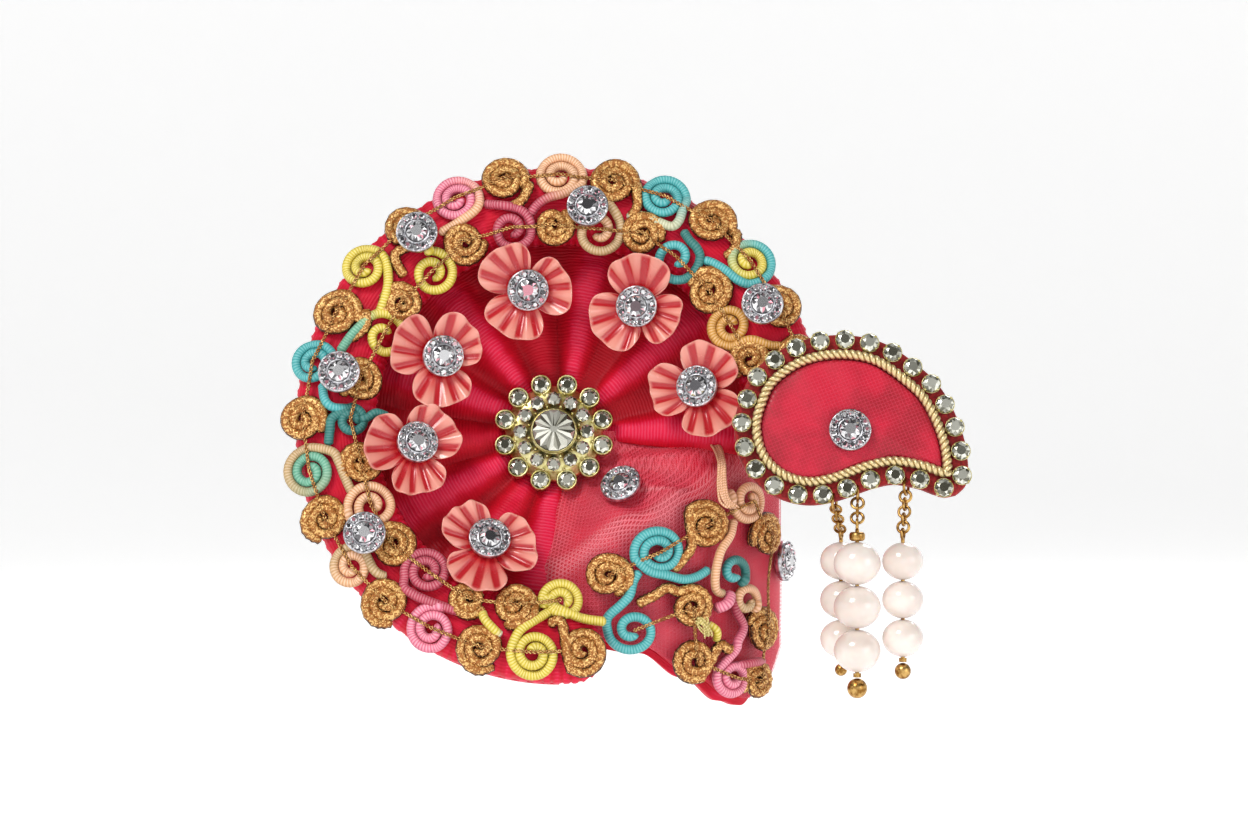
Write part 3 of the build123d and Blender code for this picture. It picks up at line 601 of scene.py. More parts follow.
# name, turn, radius share, outside diameter, dye, coiling sense, way the cord leaves in degrees
rim_coils = [
    ("o1", 115.2, 0.931, 7.9, "pink", -1, 270), ("o2", 103.1, 0.948, 7.6, "gold", -1, 250),
    ("o3", 90.2, 0.935, 8.0, "peach", -1, 250), ("o4", 77.4, 0.934, 7.9, "gold", -1, 270),
    ("o5", 65.1, 0.937, 7.6, "teal", -1, 270), ("o6", 52.7, 0.949, 7.7, "gold", -1, 250),
    ("o7", 39.8, 0.935, 8.0, "yellow", -1, 180), ("o8", 26.7, 0.928, 7.4, "gold", 1, 250),
    ("o9", 14.0, 0.935, 7.0, "gold", 1, 270), ("o10", 1.5, 0.935, 7.2, "amber", 1, 270),
    ("o11", 128.9, 0.938, 7.4, "gold", -1, 220), ("o12", 142.2, 0.937, 7.6, "yellow", -1, 270),
    ("o13", 155.0, 0.929, 8.0, "gold", -1, 250), ("o14", 167.7, 0.949, 7.0, "teal", -1, 300),
    ("o15", 180.9, 0.961, 7.4, "gold", -1, 280), ("o16", 193.0, 0.956, 8.0, "green", -1, 0),
    ("o17", 204.5, 0.955, 7.4, "gold", 1, 300), ("o18", 216.8, 0.960, 6.8, "peach", -1, 330),
    ("o19", 227.9, 0.955, 7.4, "gold", 1, 330), ("o20", 240.0, 0.936, 7.4, "pink", -1, 0),
    ("o21", 252.0, 0.926, 7.4, "gold", 1, 350), ("o22", 264.3, 0.905, 7.6, "yellow", -1, 90),
    ("o23", 275.6, 0.890, 7.6, "gold", -1, 150),
    ("i1", 104.3, 0.748, 7.4, "rose", 1, 170), ("i2", 91.9, 0.740, 6.0, "gold", 1, 90),
    ("i3", 78.6, 0.735, 7.8, "peach", 1, 110), ("i4", 66.1, 0.772, 6.8, "gold", -1, 300),
    ("i5", 54.2, 0.752, 8.0, "teal", 1, 90), ("i6", 40.4, 0.742, 7.4, "gold", 1, 200),
    ("i7", 28.4, 0.730, 6.8, "amber", 1, 0), ("i8", 16.6, 0.751, 6.4, "gold", 1, 270),
    ("i9", 118.4, 0.765, 6.7, "gold", 1, 50), ("i10", 131.0, 0.735, 7.4, "yellow", 1, 180),
    ("i11", 144.0, 0.740, 6.5, "gold", 1, 250), ("i12", 155.0, 0.730, 7.8, "yellow", 1, 200),
    ("i13", 169.9, 0.760, 7.2, "gold", 1, 270), ("i14", 181.6, 0.780, 4.8, "deep", 1, 180),
    ("i15", 194.3, 0.762, 6.8, "gold", 1, 270), ("i16", 206.6, 0.780, 7.8, "peach", 1, 270),
    ("i17", 219.0, 0.790, 7.4, "gold", 1, 240), ("i18", 230.6, 0.770, 7.4, "rose", 1, 285),
    ("i19", 244.5, 0.775, 5.8, "gold", 1, 0), ("i20", 257.5, 0.740, 7.2, "gold", -1, 200),
    ("i21", 271.0, 0.700, 6.8, "yellow", 1, 285),
]
# name, turn round the band, height, outside diameter, dye, coiling sense, way the cord leaves
flap_coils = [
    ("f1", -1, -18.6, 6.9, "gold", -1, 250), ("f2", 14, -15.0, 7.6, "teal", 1, 285),
    ("f3", 28.5, -11.0, 7.6, "gold", 1, 225), ("f4", 45, -7.4, 6.8, "peach", -1, 100),
    ("f5", 53.4, -12.9, 7.0, "gold", 1, 250), ("f6", 6.2, -27.0, 7.4, "teal", -1, 90),
    ("f7", 24.0, -23.6, 6.8, "gold", 1, 215), ("f8", 39, -18.4, 5.2, "teal", -1, 255),
    ("f9", 44.0, -23.0, 5.2, "tan", -1, 270), ("f10", 25, -31.8, 6.8, "gold", 1, 20),
    ("f11", 38.5, -34.8, 6.2, "pink", -1, 60), ("f12", 51.3, -27.7, 7.0, "gold", 1, 200),
    ("f13", 48.8, -35.5, 6.4, "gold", 1, 250),
]
# turns of the open hooks; the other coils are wound as far as their size lets them
hooks = {"i1": 1.45, "i3": 1.4, "i5": 1.25, "i10": 1.45, "i12": 1.2, "i14": 1.3, "i16": 1.6,
         "f6": 1.35, "f8": 0.9, "f9": 1.0}
# coil: the dye its cord ends in, and where along the cord that dye comes in
changes = {"o1": ("peach", 0.7), "o3": ("rose", 0.8), "i3": ("tan", 0.5), "o5": ("sage", 0.62),
           "i5": ("deep", 0.5), "o7": ("teal", 0.45), "i12": ("green", 0.72), "o16": ("tan", 0.5),
           "o18": ("tan", 0.6), "f8": ("deep", 0.5), "f9": ("peach", 0.4), "f11": ("rose", 0.8)}
# coil: the spots its stem passes, measured on the photograph in its own pixels from the left and
# the top
stems = {
    "o2": [(529, 187), (523, 199), (511, 207)],
    "o4": [(637, 192), (637, 207), (630, 219)],
    "o6": [(737, 234), (735, 247), (726, 258)],
    "o11": [(397, 253), (397, 264), (404, 276)],
    "o13": [(367, 314), (365, 327), (350, 340)],
    "o23": [(562, 623), (548, 622)],
    "f3": [(688, 545), (680, 560), (672, 570)],
    "f7": [(664, 588), (650, 597), (637, 604)],
    "f10": [(714, 646), (724, 649), (736, 649)],
    "o1": [(475, 211), (459, 222), (439, 233)],
    "i1": [(502, 206), (484, 203)],
    "o3": [(563, 194), (549, 198), (538, 204), (530, 213)],
    "i3": [(607, 200)],
    "o5": [(683, 209), (679, 221), (672, 227), (660, 223), (648, 217), (637, 215),
                          (627, 217)],
    "i5": [(697, 249), (690, 241), (683, 230)],
    "o7": [(737, 280), (724, 270), (711, 262), (705, 260)],
    "i7": [(750, 340), (768, 345), (784, 346)],
    "o12": [(388, 286), (382, 306), (377, 314)],
    "i10": [(427, 252)],
    "i12": [(365, 322), (350, 337), (339, 352)],
    "o14": [(338, 374)],
    "i14": [(333, 418), (330, 430), (328, 445)],
    "o16": [(332, 452), (339, 462), (344, 475), (352, 493)],
    "i16": [(351, 524)],
    "o18": [(374, 570), (386, 577)],
    "i18": [(404, 587), (412, 594), (427, 601), (450, 609), (465, 612), (475, 607)],
    "o20": [(447, 608)],
    "i21": [(548, 596), (557, 606), (573, 613), (589, 617), (606, 619)],
    "o22": [(519, 632), (537, 618), (552, 608)],
    "f2": [(638, 562), (649, 571), (665, 575), (681, 579), (694, 577), (708, 569)],
    "f6": [(608, 617), (620, 605), (629, 595), (633, 581), (639, 571)],
    "f4": [(727, 490)],
    "f8": [(737, 585)],
    "f9": [(749, 614)],
    "f11": [(731, 650), (733, 641), (739, 626), (733, 609), (734, 594)],
}
# lengths of cord that show no coil: on the rim or not, first dye, last dye, thickness, spots
lengths = [
    (True, "teal", "deep", 0.95, [(322, 383), (325, 400), (333, 408), (351, 408)]),
    (True, "deep", "deep", 0.95, [(358, 419), (367, 417), (376, 412), (388, 415)]),
    (True, "yellow", "white", 0.95, [(482, 611), (485, 620), (494, 630), (501, 636)]),
    (False, "peach", "tan", 0.95, [(731, 519), (726, 534), (715, 551), (710, 573), (712, 589),
                                   (721, 594)]),
    (False, "pink", "rose", 1.20, [(728, 592), (721, 603), (712, 609)]),
    (False, "rose", "pink", 0.95, [(760, 661), (746, 662), (731, 666)]),
    (False, "yellow", "leaf", 0.85, [(714, 641), (711, 630), (705, 623)]),
]


def rim_drape(across, up, lift):
    """Points over the roll's front at places on the disc's plane, lifted along its axis."""
    radius = np.hypot(across, up)
    turn = np.degrees(np.arctan2(up, across)) % 360
    turn = np.clip(np.where(turn > 330, turn - 360, turn), *rim_carry)
    half_width, half_height, middle, level = rim_section(turn)
    share = np.abs(radius - middle) / half_width
    rise = np.maximum(0.34, 1 - np.minimum(share, 1) ** rim_fullness) ** (1 / rim_fullness)
    points = on_disc(across, up, level + half_height * rise + lift)
    return points, np.broadcast_to(disc_axes[2], points.shape)


def band_drape(run, height, lift):
    """Points over the flap at distances round it and heights, lifted straight out."""
    turn = np.degrees(run / band_radius)
    return on_band(turn, band_face + lift, height), on_band(turn, 1.0, 0 * height)


def sight(spots):
    """Lines of sight through spots of the picture, as steps for each millimetre of depth."""
    spots = np.array(spots, float) - picture_centre
    depth = np.full(len(spots), picture_slope)
    return np.stack([spots[:, 0], depth, -spots[:, 1]], axis=1) / picture_slope


def seen(spots, drape):
    """Places on the rim's face or on the flap where the picture shows the spots."""
    way = sight(spots)
    if drape is rim_drape:
        face = disc_centre + disc_axes[2] * (rim_height / 2 + cord_radius)
        depth = ((face - eye) @ disc_axes[2]) / (way @ disc_axes[2])
        local = (eye + way * depth[:, None] - disc_centre) @ disc_axes.T
        return local[:, :2]
    square = (way[:, :2] ** 2).sum(axis=1)
    half = way[:, :2] @ eye[:2]
    rest = eye[:2] @ eye[:2] - band_face ** 2
    depth = (-half - np.sqrt(np.maximum(half ** 2 - square * rest, 0))) / square
    point = eye + way * depth[:, None]
    return np.stack([band_radius * np.arctan2(point[:, 0], -point[:, 1]), point[:, 2]], axis=1)


def cubic(marks, count, closed=False):
    """Catmull-Rom curve through the marks, with count steps between two of them."""
    if closed:
        four = [np.roll(marks, -k, 0)[:, None] for k in (-1, 0, 1, 2)]
    else:
        ends = np.vstack([2 * marks[:1] - marks[1:2], marks, 2 * marks[-1:] - marks[-2:-1]])
        four = [ends[k:len(ends) - 3 + k, None] for k in range(4)]
    a, b, c, d = four
    share = np.linspace(0, 1, count, endpoint=False)[None, :, None]
    line = 0.5 * (2 * b + (c - a) * share + (2 * a - 5 * b + 4 * c - d) * share ** 2
                  + (3 * b - a - 3 * c + d) * share ** 3)
    line = line.reshape(-1, marks.shape[1])
    return line if closed else np.vstack([line, marks[-1:]])


def coil_line(centre, diameter, sense, leave, thick, pitch, heart, turns=None):
    """Flat spiral from its heart to its outer end, which leaves in the direction leave."""
    outer = diameter / 2 - thick + 0.24 * pitch
    turns = turns or (outer - heart) / pitch + 0.35
    run = np.linspace(0, 1, int(coil_steps * turns) + 8)
    start = math.radians(leave) - sense * math.pi / 2
    angle = start - sense * 2 * np.pi * turns * (1 - run)
    reach = heart + (outer - heart) * run ** 0.8
    return np.stack([centre[0] + reach * np.cos(angle), centre[1] + reach * np.sin(angle),
                     thick * (1.0 + 0.45 * (1 - run) ** 1.5)], axis=1)


def tail_line(end, leave, sense, length, thick):
    """Short run of cord that leaves a coil, bends back towards it and dips under the next."""
    run = np.linspace(0, 1, 8)[1:]
    angle = math.radians(leave) + sense * run * 0.5
    return np.stack([end[0] + length * run * np.cos(angle), end[1] + length * run * np.sin(angle),
                     thick * (1 - 0.5 * run)], axis=1)


def stem_line(line, spots, drape):
    """The coil's line carried on over the spots of its stem, lifted a little and let down."""
    marks = np.vstack([line[[-4, -1], :2], seen(spots, drape)])
    path = cubic(marks, 7)[8:]
    run = np.linspace(0, 1, len(path))
    lift = cord_radius * (1.0 + 0.55 * np.sin(np.pi * np.minimum(1, run * 1.3)) - 0.5 * run ** 4)
    return np.vstack([line, np.hstack([path, lift[:, None]])])


def span(line):
    """Distance along a line from its first point to each of its points."""
    return np.concatenate([[0], np.cumsum(np.linalg.norm(np.diff(line, axis=0), axis=1))])


def at_lengths(line, run, at):
    """A line whose points lie at run, given again at other distances."""
    return np.stack([np.interp(at, run, column) for column in line.T], axis=1)


def cord_tube(line, up, radius, sides=8):
    """Circle of the radius carried along the line, drawn in at both ends."""
    along = unit(np.gradient(line, axis=0))
    side = unit(np.cross(along, up))
    over = np.cross(side, along)
    radius = np.broadcast_to(radius, (len(line), sides)).copy()
    radius[[0, -1]] *= 0.45
    around = 2 * np.pi * np.arange(sides) / sides + np.zeros((len(line), 1))
    ring = np.cos(around)[..., None] * side[:, None] + np.sin(around)[..., None] * over[:, None]
    points = line[:, None] + radius[..., None] * ring
    field = np.stack([span(line)[:, None] + 0 * around, around, 0 * around], axis=2)
    return points.reshape(-1, 3), tube_faces(*around.shape), field.reshape(-1, 3)


def joined(shapes):
    """Shapes of points, faces and perhaps a field as one, the faces counted on."""
    points, face_lists, *fields = zip(*shapes)
    starts = np.cumsum([0] + [len(part) for part in points]).tolist()
    faces = [[corner + start for corner in face]
             for start, part in zip(starts, face_lists) for face in part]
    return [np.vstack(points), faces] + [np.vstack(field) for field in fields]


def dyed_cord(line, up, radius, first, last, change, sides=10):
    """A cord whose dye runs from the first to the last where its length passes change."""
    points, faces, field = cord_tube(line, up, radius, sides)
    share = smooth_step(np.linspace(0, 1, len(line)), change - 0.12, change + 0.12)[:, None]
    shade = np.array(dyes[first]) * (1 - share) + np.array(dyes[last]) * share
    return points, faces, np.hstack([field, np.repeat(shade, sides, axis=0)])


coil_places = {}
for name, turn, share, *rest in rim_coils:
    angle = math.radians(turn)
    centre = (disc_radius * share * math.cos(angle), disc_radius * share * math.sin(angle))
    coil_places[name] = (rim_drape, centre, *rest)
for name, turn, height, *rest in flap_coils:
    coil_places[name] = (band_drape, (math.radians(turn) * band_radius, height), *rest)

coloured, gilt = [], []
for name, (drape, centre, diameter, dye, sense, leave) in coil_places.items():
    metal = dye == "gold"
    sizes = gold_sizes if metal else cord_sizes
    line = coil_line(centre, diameter, sense, leave, *sizes, hooks.get(name))
    last, change = changes.get(name, (dye, 0.5))
    if name in stems:
        line = stem_line(line, stems[name], drape)
    else:
        line = np.vstack([line, tail_line(line[-1], leave, sense, tail_length, sizes[0])])
    points, up = drape(*line.T)
    if metal:
        run = np.linspace(0, len(line) * 0.62, len(line))[:, None]
        around = 2 * np.pi * np.arange(8) / 8
        knobs = gold_radius * (0.98 + 0.10 * np.sin(run * 5.1 + 2 * around)
                               + 0.07 * np.sin(run * 11 + around))
        gilt.append(dyed_cord(points, up, knobs, dye, dye, change, 8))
    else:
        coloured.append(dyed_cord(points, up, cord_radius, dye, last, change))
for on_rim, first, last, share, spots in lengths:
    drape = rim_drape if on_rim else band_drape
    path = cubic(seen(spots, drape), 7)
    run = np.linspace(0, 1, len(path))
    lift = cord_radius * (0.7 + 1.5 * np.sin(np.pi * np.clip(run, 0.08, 0.92)))
    points, up = drape(path[:, 0], path[:, 1], lift)
    coloured.append(dyed_cord(points, up, cord_radius * share, first, last, 0.85))


def loose_threads(spots, depths, count, spread, thin, dye):
    """Bundle of fine threads along spots of the picture at given depths, splayed at the end."""
    marks = eye + sight(spots) * (np.array(depths)[:, None] - eye[1])
    line = cubic(marks, 6)
    run = np.linspace(0, 1, len(line))[:, None]
    front = np.broadcast_to([0, -1.0, 0], line.shape)
    made = []
    for k in range(count):
        angle = 2.4 * k
        off = np.array([math.cos(angle), 0.3 * math.sin(angle), 0.4 * math.sin(angle)])
        reach = spread * math.sqrt((k + 0.5) / count) * (0.55 + 0.45 * np.cos(run * 5 + k))
        made.append(dyed_cord(line + off * reach, front, thin, dye, dye, 0.5, 6))
    return made


# spots, depths, count, spread, thickness and dye: the peach tassel and two frayed ends
bundles = [([(733, 507), (725, 499), (722, 479), (722, 461), (717, 447), (706, 439), (698, 436)],
            [-28.2, -27.4, -26.0, -24.5, -21.5, -17.5, -13.0], 14, 1.0, 0.21, "peach"),
           ([(499, 634), (505, 640), (509, 643)], [-31.5, -31.8, -31.5], 7, 0.8, 0.12, "white"),
           ([(708, 636), (704, 626), (699, 618)], [-27.5, -28.4, -28.4], 12, 1.5, 0.15, "leaf")]
for bundle in bundles:
    coloured += loose_threads(*bundle)


def stitch_row(names, pitch=1.25, wire=0.13):
    """Chain stitch over the hearts of a row of coils: two fine gold threads that cross."""
    spots = []
    for name in names:
        drape, centre = coil_places[name][:2]
        spots.append(drape(*np.array(centre)[:, None], stitch_lift))
    marks, normals = (np.vstack(part) for part in zip(*spots))
    run = span(marks)
    at = np.arange(0, run[-1], 0.30)
    up = at_lengths(normals, run, at)
    dip = 0.5 * (1 - np.cos(2 * np.pi * np.interp(at, run, np.arange(len(run)))))
    line = at_lengths(marks, run, at) - up * dip[:, None] * 0.5
    side = unit(np.cross(np.gradient(line, axis=0), up))
    made = []
    for phase in (0, np.pi):
        twist = (at * 2 * np.pi / pitch + phase)[:, None]
        strand = line + side * 0.24 * np.sin(twist) + up * (0.10 * np.cos(twist) + 0.05)
        made.append(dyed_cord(strand, up, wire, "gold", "gold", 0.5, 5))
    return made


outer_row = [*range(23, 10, -1), *range(1, 11)]
inner_row = [*range(21, 8, -1), *range(1, 9)]
for row in ([f"o{k}" for k in outer_row], [f"i{k}" for k in inner_row],
            ["f1", "f2", "f3", "f4", "f5", "f12", "f13"], ["f6", "f7", "f10", "f11", "f13"]):
    gilt += stitch_row(row)


def thread_look(wire):
    """Gimp: thread wound tightly round the cord, a little uneven, with painted shade in the
    grooves and down the sides and a painted highlight along the crest.
    """
    along, around = wire.field("cord", 0, 1)
    wrap = (along * 14.5 + around).wave()
    drift = wire.noise(800, 3)
    dye = wire.node("Attribute", {"attribute_name": "dye"})
    # deep and pale are shaded and lit copies of the dye, for the painted shade and the painted
    # highlight.
    deep = wire.node("HueSaturation", None, {"Color": dye, "Value": 0.36, "Saturation": 1.15})
    pale = wire.node("HueSaturation", None, {"Color": dye, "Value": 1.25, "Saturation": 0.62})
    crest = around.wave() ** 2.0
    # Painted shade in the wrap's grooves and down the cord's sides, then a painted highlight along
    # its crest.
    colour = ((1 - wrap) * 0.26 + (drift - 0.5) * 0.6 + (1 - crest) * 0.44).blend(dye, deep)
    colour = (crest ** 2.0 * wrap * 0.7).blend(colour, pale)
    return {"Base Color": colour, "Roughness": 0.40 + drift * 0.2,
            "Bump": (wrap * 0.6 + drift, 0.00009, 0.8)}


def lurex_look(wire):
    """Lurex: crinkled metallic flakes, with painted glints on some flakes, most of them on the
    crest of the cord, and painted shade down its sides.
    """
    flake = wire.node("TexVoronoi", None, {"Vector": wire.place(), "Scale": 4800.0}, 1)
    first, second, third = [wire.node("SeparateColor", None, {0: flake}, part)
                            for part in range(3)]
    fine = wire.noise(2600, 3)
    crest = wire.field("cord", 1)[0].wave()
    # Painted glints on the flakes, more on the crest; the body gets painted shade down the sides.
    glint = (first + (crest - 0.85) * 0.9).between(0.62, 0.86)
    body = (second * 0.5 + crest.between(0.5, 1.0) * 0.8 + (fine - 0.5) * 0.3).between(0.30, 1.1)
    colour = glint.blend(body.blend(tint(48, 18, 2), tint(176, 108, 42)), tint(246, 200, 126))
    return {"Base Color": colour, "Roughness": 0.50 - glint * 0.2, "Metallic": glint * 0.3 + 0.2,
            "Bump": (fine + third * 0.5, 0.00014, 1.0)}


wound_thread = material("wound_thread", thread_look, Sheen_Weight=0.15)
gold_lurex = material("gold_lurex", lurex_look)
for name, shapes, finish in (("braid_coloured", coloured, wound_thread),
                             ("braid_gold", gilt, gold_lurex)):
    points, faces, fields = joined(shapes)
    dye = np.hstack([fields[:, 3:], np.ones((len(fields), 1))])
    piece(name, points, faces, finish, "braid", ["curls_outer", "curls_inner", "curls_flap"],
          cord=fields[:, :3], dye=dye)

# Flowers: three ruffled petals moulded in one piece from translucent striped plastic, each pushed
# through the satin on a short peg, with a rhinestone button glued in its middle.
flower_diameter = 15.8
flower_plastic = 0.62
flower_height = 9.2
flower_tilt = 16.0
flower_cup = 2.4
# turn, radius share, turn of the first petal, height share, and the way in degrees and the
# length by which the petals lie off the flower's button
flowers = [(103.8, 0.52, 130, 1.00, 200, 0.8), (56.1, 0.53, 90, 1.00, 90, 0.3),
           (151.6, 0.51, 160, 1.00, 190, 1.1), (12.9, 0.54, 60, 1.03, 300, 0.5),
           (190.5, 0.55, 165, 1.08, 240, 1.3), (240.9, 0.54, 130, 1.03, 258, 1.5)]


def turned(axis, degrees):
    """Rotation about one of the three axes, for points given as rows."""
    cosine, sine = math.cos(math.radians(degrees)), math.sin(math.radians(degrees))
    made = np.eye(3)
    one, two = [k for k in range(3) if k != axis]
    sine = -sine if axis == 1 else sine
    made[one, one], made[one, two], made[two, one], made[two, two] = cosine, sine, -sine, cosine
    return made


def flower_spot(turn, share, petal, height):
    """Axes and origin of a flower: tilted towards the middle of the dish."""
    level = flower_height * height - dish_depth
    axes = turned(2, petal - turn) @ turned(1, -flower_tilt) @ turned(2, turn) @ disc_axes
    local = np.array([disc_radius * share, 0, level]) @ turned(2, turn)
    return axes, disc_centre + local @ disc_axes


def flower_points(seed, first_petal, way, length):
    """Petals in polar form: the lobe is a root of a cosine, ruffled by a faster cosine."""
    angle = np.linspace(0, 2 * np.pi, 289)[:-1][None]
    ring = np.concatenate([[0.02], np.linspace(0.06, 0.93, 22), [0.97, 1.0]])[:, None]
    petal = np.floor((angle / (2 * np.pi) * 3 + 0.5) % 3)
    phase = np.sin(seed * 2.1 + petal * 1.7)
    swing = angle + 0.10 * np.sin(angle + seed) + 0.05 * np.sin(2 * angle + 2 * seed)
    lobe = np.sin(np.pi / 2 * np.minimum(1, np.abs(np.cos(1.5 * swing)) * 1.22)) ** 0.55
    uneven = 1 + 0.05 * np.sin(angle * 2 + seed * 1.3) + 0.015 * np.sin(9 * angle + seed)
    edge = (0.32 + 0.68 * lobe) * np.minimum(1, 0.96 * uneven)
    reach = flower_diameter / 2 * edge * ring
    folds = np.cos(15 * swing + 0.8 * phase)
    ruffle = 0.40 * ring ** 1.6 * folds * lobe + 0.35 * ring ** 2 * np.sin(3 * swing + seed)
    droop = 0.6 * ring ** 3 * np.sin(angle * 1.5 + phase * 2) ** 2
    rise = flower_cup * (2 * reach / flower_diameter) ** 2 + ruffle - droop * phase
    way = math.radians(way - first_petal)
    front = np.stack([reach * np.cos(angle) + length * math.cos(way) * ring,
                      reach * np.sin(angle) + length * math.sin(way) * ring, rise], axis=2)
    back = front.copy()
    back[..., 2] -= flower_plastic * (1 - 0.45 * ring)
    back[..., 2] -= 2.6 * np.maximum(0, 1 - ring / 0.30) ** 1.2
    rows = np.vstack([front, back[::-1]])
    stripes = np.stack(np.broadcast_arrays(0.5 - 0.5 * folds, ring, 0.0), axis=2)
    return rows, tube_faces(*rows.shape[:2]), np.vstack([stripes, stripes[::-1]])


def petal_look(wire):
    """Moulded plastic: coral streaks that fan out over pale pink, pale at the edge."""
    strip, ring = wire.field("stripes", 0, 1)
    drift = wire.noise(320, 3)
    streak = (strip + (drift - 0.5) * 0.3 + (0.62 - ring) * 0.6).between(0.22, 0.66)
    edge = ring.between(0.92, 1.0)
    ground = ring.between(0.36, 0.98).blend(tint(198, 48, 48), tint(238, 158, 142))
    colour = (streak * (1 - edge * 0.7)).blend(ground, tint(186, 20, 32))
    return {"Base Color": colour, "Roughness": 0.20 + drift * 0.12, "Bump": (drift, 0.00008, 0.3)}


petal_plastic = material("petal_plastic", petal_look, Coat_Weight=0.35, Coat_Roughness=0.12,
                         Subsurface_Weight=0.12, Subsurface_Scale=0.0012,
                         Subsurface_Radius=(1.0, 0.35, 0.3))
flower_spots = []
for number, (turn, share, petal, height, way, length) in enumerate(flowers, 1):
    axes, origin = flower_spot(turn, share, petal, height)
    flower_spots.append((axes, origin))
    points, faces, stripes = flower_points(number, petal, way, length)
    piece(f"flower_{number}_petals", points @ axes + origin, faces, petal_plastic,
          "flower_plastic", [f"flower_{number}"], outward=True, stripes=stripes)

# Rhinestone buttons: a cast silver cup with a ring of thirteen small foiled stones round one
# larger stone, all held by grains raised from the metal.
button_diameter = 6.5
button_height = 1.7
button_ring = 13
ring_stone = 1.16
centre_stone = 3.3
net_button = (0.40, 0.52)
side_turn = 67.0
coil_height = 1.575
trim_level = rim_height / 2 + coil_height + 1.4
flower_seat = 0.62
side_stand = 2.1
side_height = -0.43
# smallest radius of a ring, so that no ring is one point
pole = 0.004
# turn, radius share of the buttons on the rim
rim_buttons = [(128.0, 0.875), (82.5, 0.80), (28.3, 0.865), (169.8, 0.835), (213.0, 0.853)]
kalgi_length = 30.0
kalgi_corner = np.array([30.1, -9.9])
kalgi_board = 1.6
kalgi_level = rim_height / 2 + coil_height + 0.65
kalgi_face = kalgi_level + kalgi_board
kalgi_button = kalgi_corner + np.array([0.473, 0.213]) * kalgi_length


def lathe(profile, sides, milled=None):
    """Body turned from a profile of radius and height that runs from axis to axis.

    Given the depth of a milled ripple for each row, the profile is a ring that closes on itself.
    """
    profile = np.array(profile, float)
    ripple = 0 if milled is None else milled[:, None] * (-1.0) ** np.arange(sides)
    rings = spun(np.maximum(profile[:, :1], pole) + ripple, profile[:, 1:], sides)
    if milled is None:
        return rings.reshape(-1, 3), tube_faces(len(profile), sides)
    return rings.reshape(-1, 3), grid_faces(len(profile), sides, True, True)


def moved(shape, across, up, out):
    return shape[0] + np.array([across, up, out]), shape[1]


def ringed(shape, count, reach, out, start=0.0):
    """Copies of a shape set evenly round the axis, the first start steps on from the right."""
    angles = 2 * np.pi * (np.arange(count) + start) / count
    spots = zip(reach * np.cos(angles), reach * np.sin(angles))
    return [moved(shape, across, up, out) for across, up in spots]


def brilliant(diameter, depth, sides, table=0.52):
    """Round-cut stone: the table, two rows of crown facets, the girdle and the pavilion."""
    rings = np.array([(table, 1.0, 0.0), (0.80, 0.84, 0.5), (1.0, 0.60, 0.0), (1.0, 0.52, 0.0),
                      (0.25, 0.0, 0.0)])
    reach, height, offset = rings.T[..., None]
    angle = 2 * np.pi * (np.arange(sides) + offset) / sides
    points = np.stack([diameter / 2 * reach * np.cos(angle), diameter / 2 * reach * np.sin(angle),
                       depth * height + 0 * angle], axis=2)
    top = np.arange(sides)
    star, girdle, after = top + sides, top + 2 * sides, (top + 1) % sides
    beside = after + 2 * sides
    faces = [list(range(sides))]
    for corners in ((top, star, after), (top, girdle, star), (girdle, beside, star),
                    (star, beside, after)):
        faces += np.stack(corners, axis=1).tolist()
    faces += (np.array(grid_faces(3, sides, wrap_columns=True)) + 2 * sides).tolist()
    faces.append(list(range(4 * sides, 5 * sides))[::-1])
    return points.reshape(-1, 3), faces


def faceted(name, shapes, finish, seed, node):
    """Stones as one flat-shaded piece whose facets each get a painted reflection of their own, in
    a fixed draw.
    """
    cut = [points[face] for points, faces in shapes for face in faces]
    sizes = [len(corners) for corners in cut]
    ends = np.cumsum(sizes).tolist()
    faces = [list(range(end - size, end)) for size, end in zip(sizes, ends)]
    shade = np.repeat(np.random.default_rng(seed).uniform(0, 1, len(cut)), sizes)
    flash = np.stack([shade, (shade * 7.3) % 1, (shade * 3.7) % 1], axis=1)
    piece(name, np.vstack(cut), faces, finish, "crystal", [node], smooth=False, flash=flash)


def gem_look(dark, pale, low, rough, rosy_reflection_share):
    """Foiled stone: each facet gets a painted reflection, of a bright or a dark part of the room,
    some of a rosy one.
    """
    def look(wire):
        shade, second, third = wire.field("flash", 0, 1, 2)
        # Painted reflection: each facet's colour is bright or dark, some rosy, by its draw.
        grey = shade.between(low, 0.90).blend(tint(*dark), tint(*pale))
        rosy_reflection = second.between(0.86, 0.95) * rosy_reflection_share
        return {"Base Color": rosy_reflection.blend(grey, tint(226, 150, 165)),
                "Roughness": rough + third * 0.10}
    return look


def grain_look(dark, pale, fine, coarse, share, rough, bump):
    """Even stuff that two noises shade between two tints; the fine one roughens and dents it."""
    def look(wire):
        grain = wire.noise(*fine)
        mixed = grain * share + wire.noise(*coarse) * (1 - share)
        return {"Base Color": mixed.between(0.35, 0.65).blend(tint(*dark), tint(*pale)),
                "Roughness": rough[0] + grain * rough[1], "Bump": (grain, *bump)}
    return look


crystal = material("foiled_crystal", gem_look((84, 82, 86), (250, 250, 252), 0.20, 0.06, 1.0),
                   Metallic=0.75, Coat_Weight=1.0, Coat_Roughness=0.03)
silver_grain = grain_look((150, 150, 156), (226, 226, 230), (1500, 2), (1500, 2), 1.0,
                          (0.22, 0.16), (0.00003, 0.4))
silver = material("cast_silver", silver_grain, Metallic=1.0)


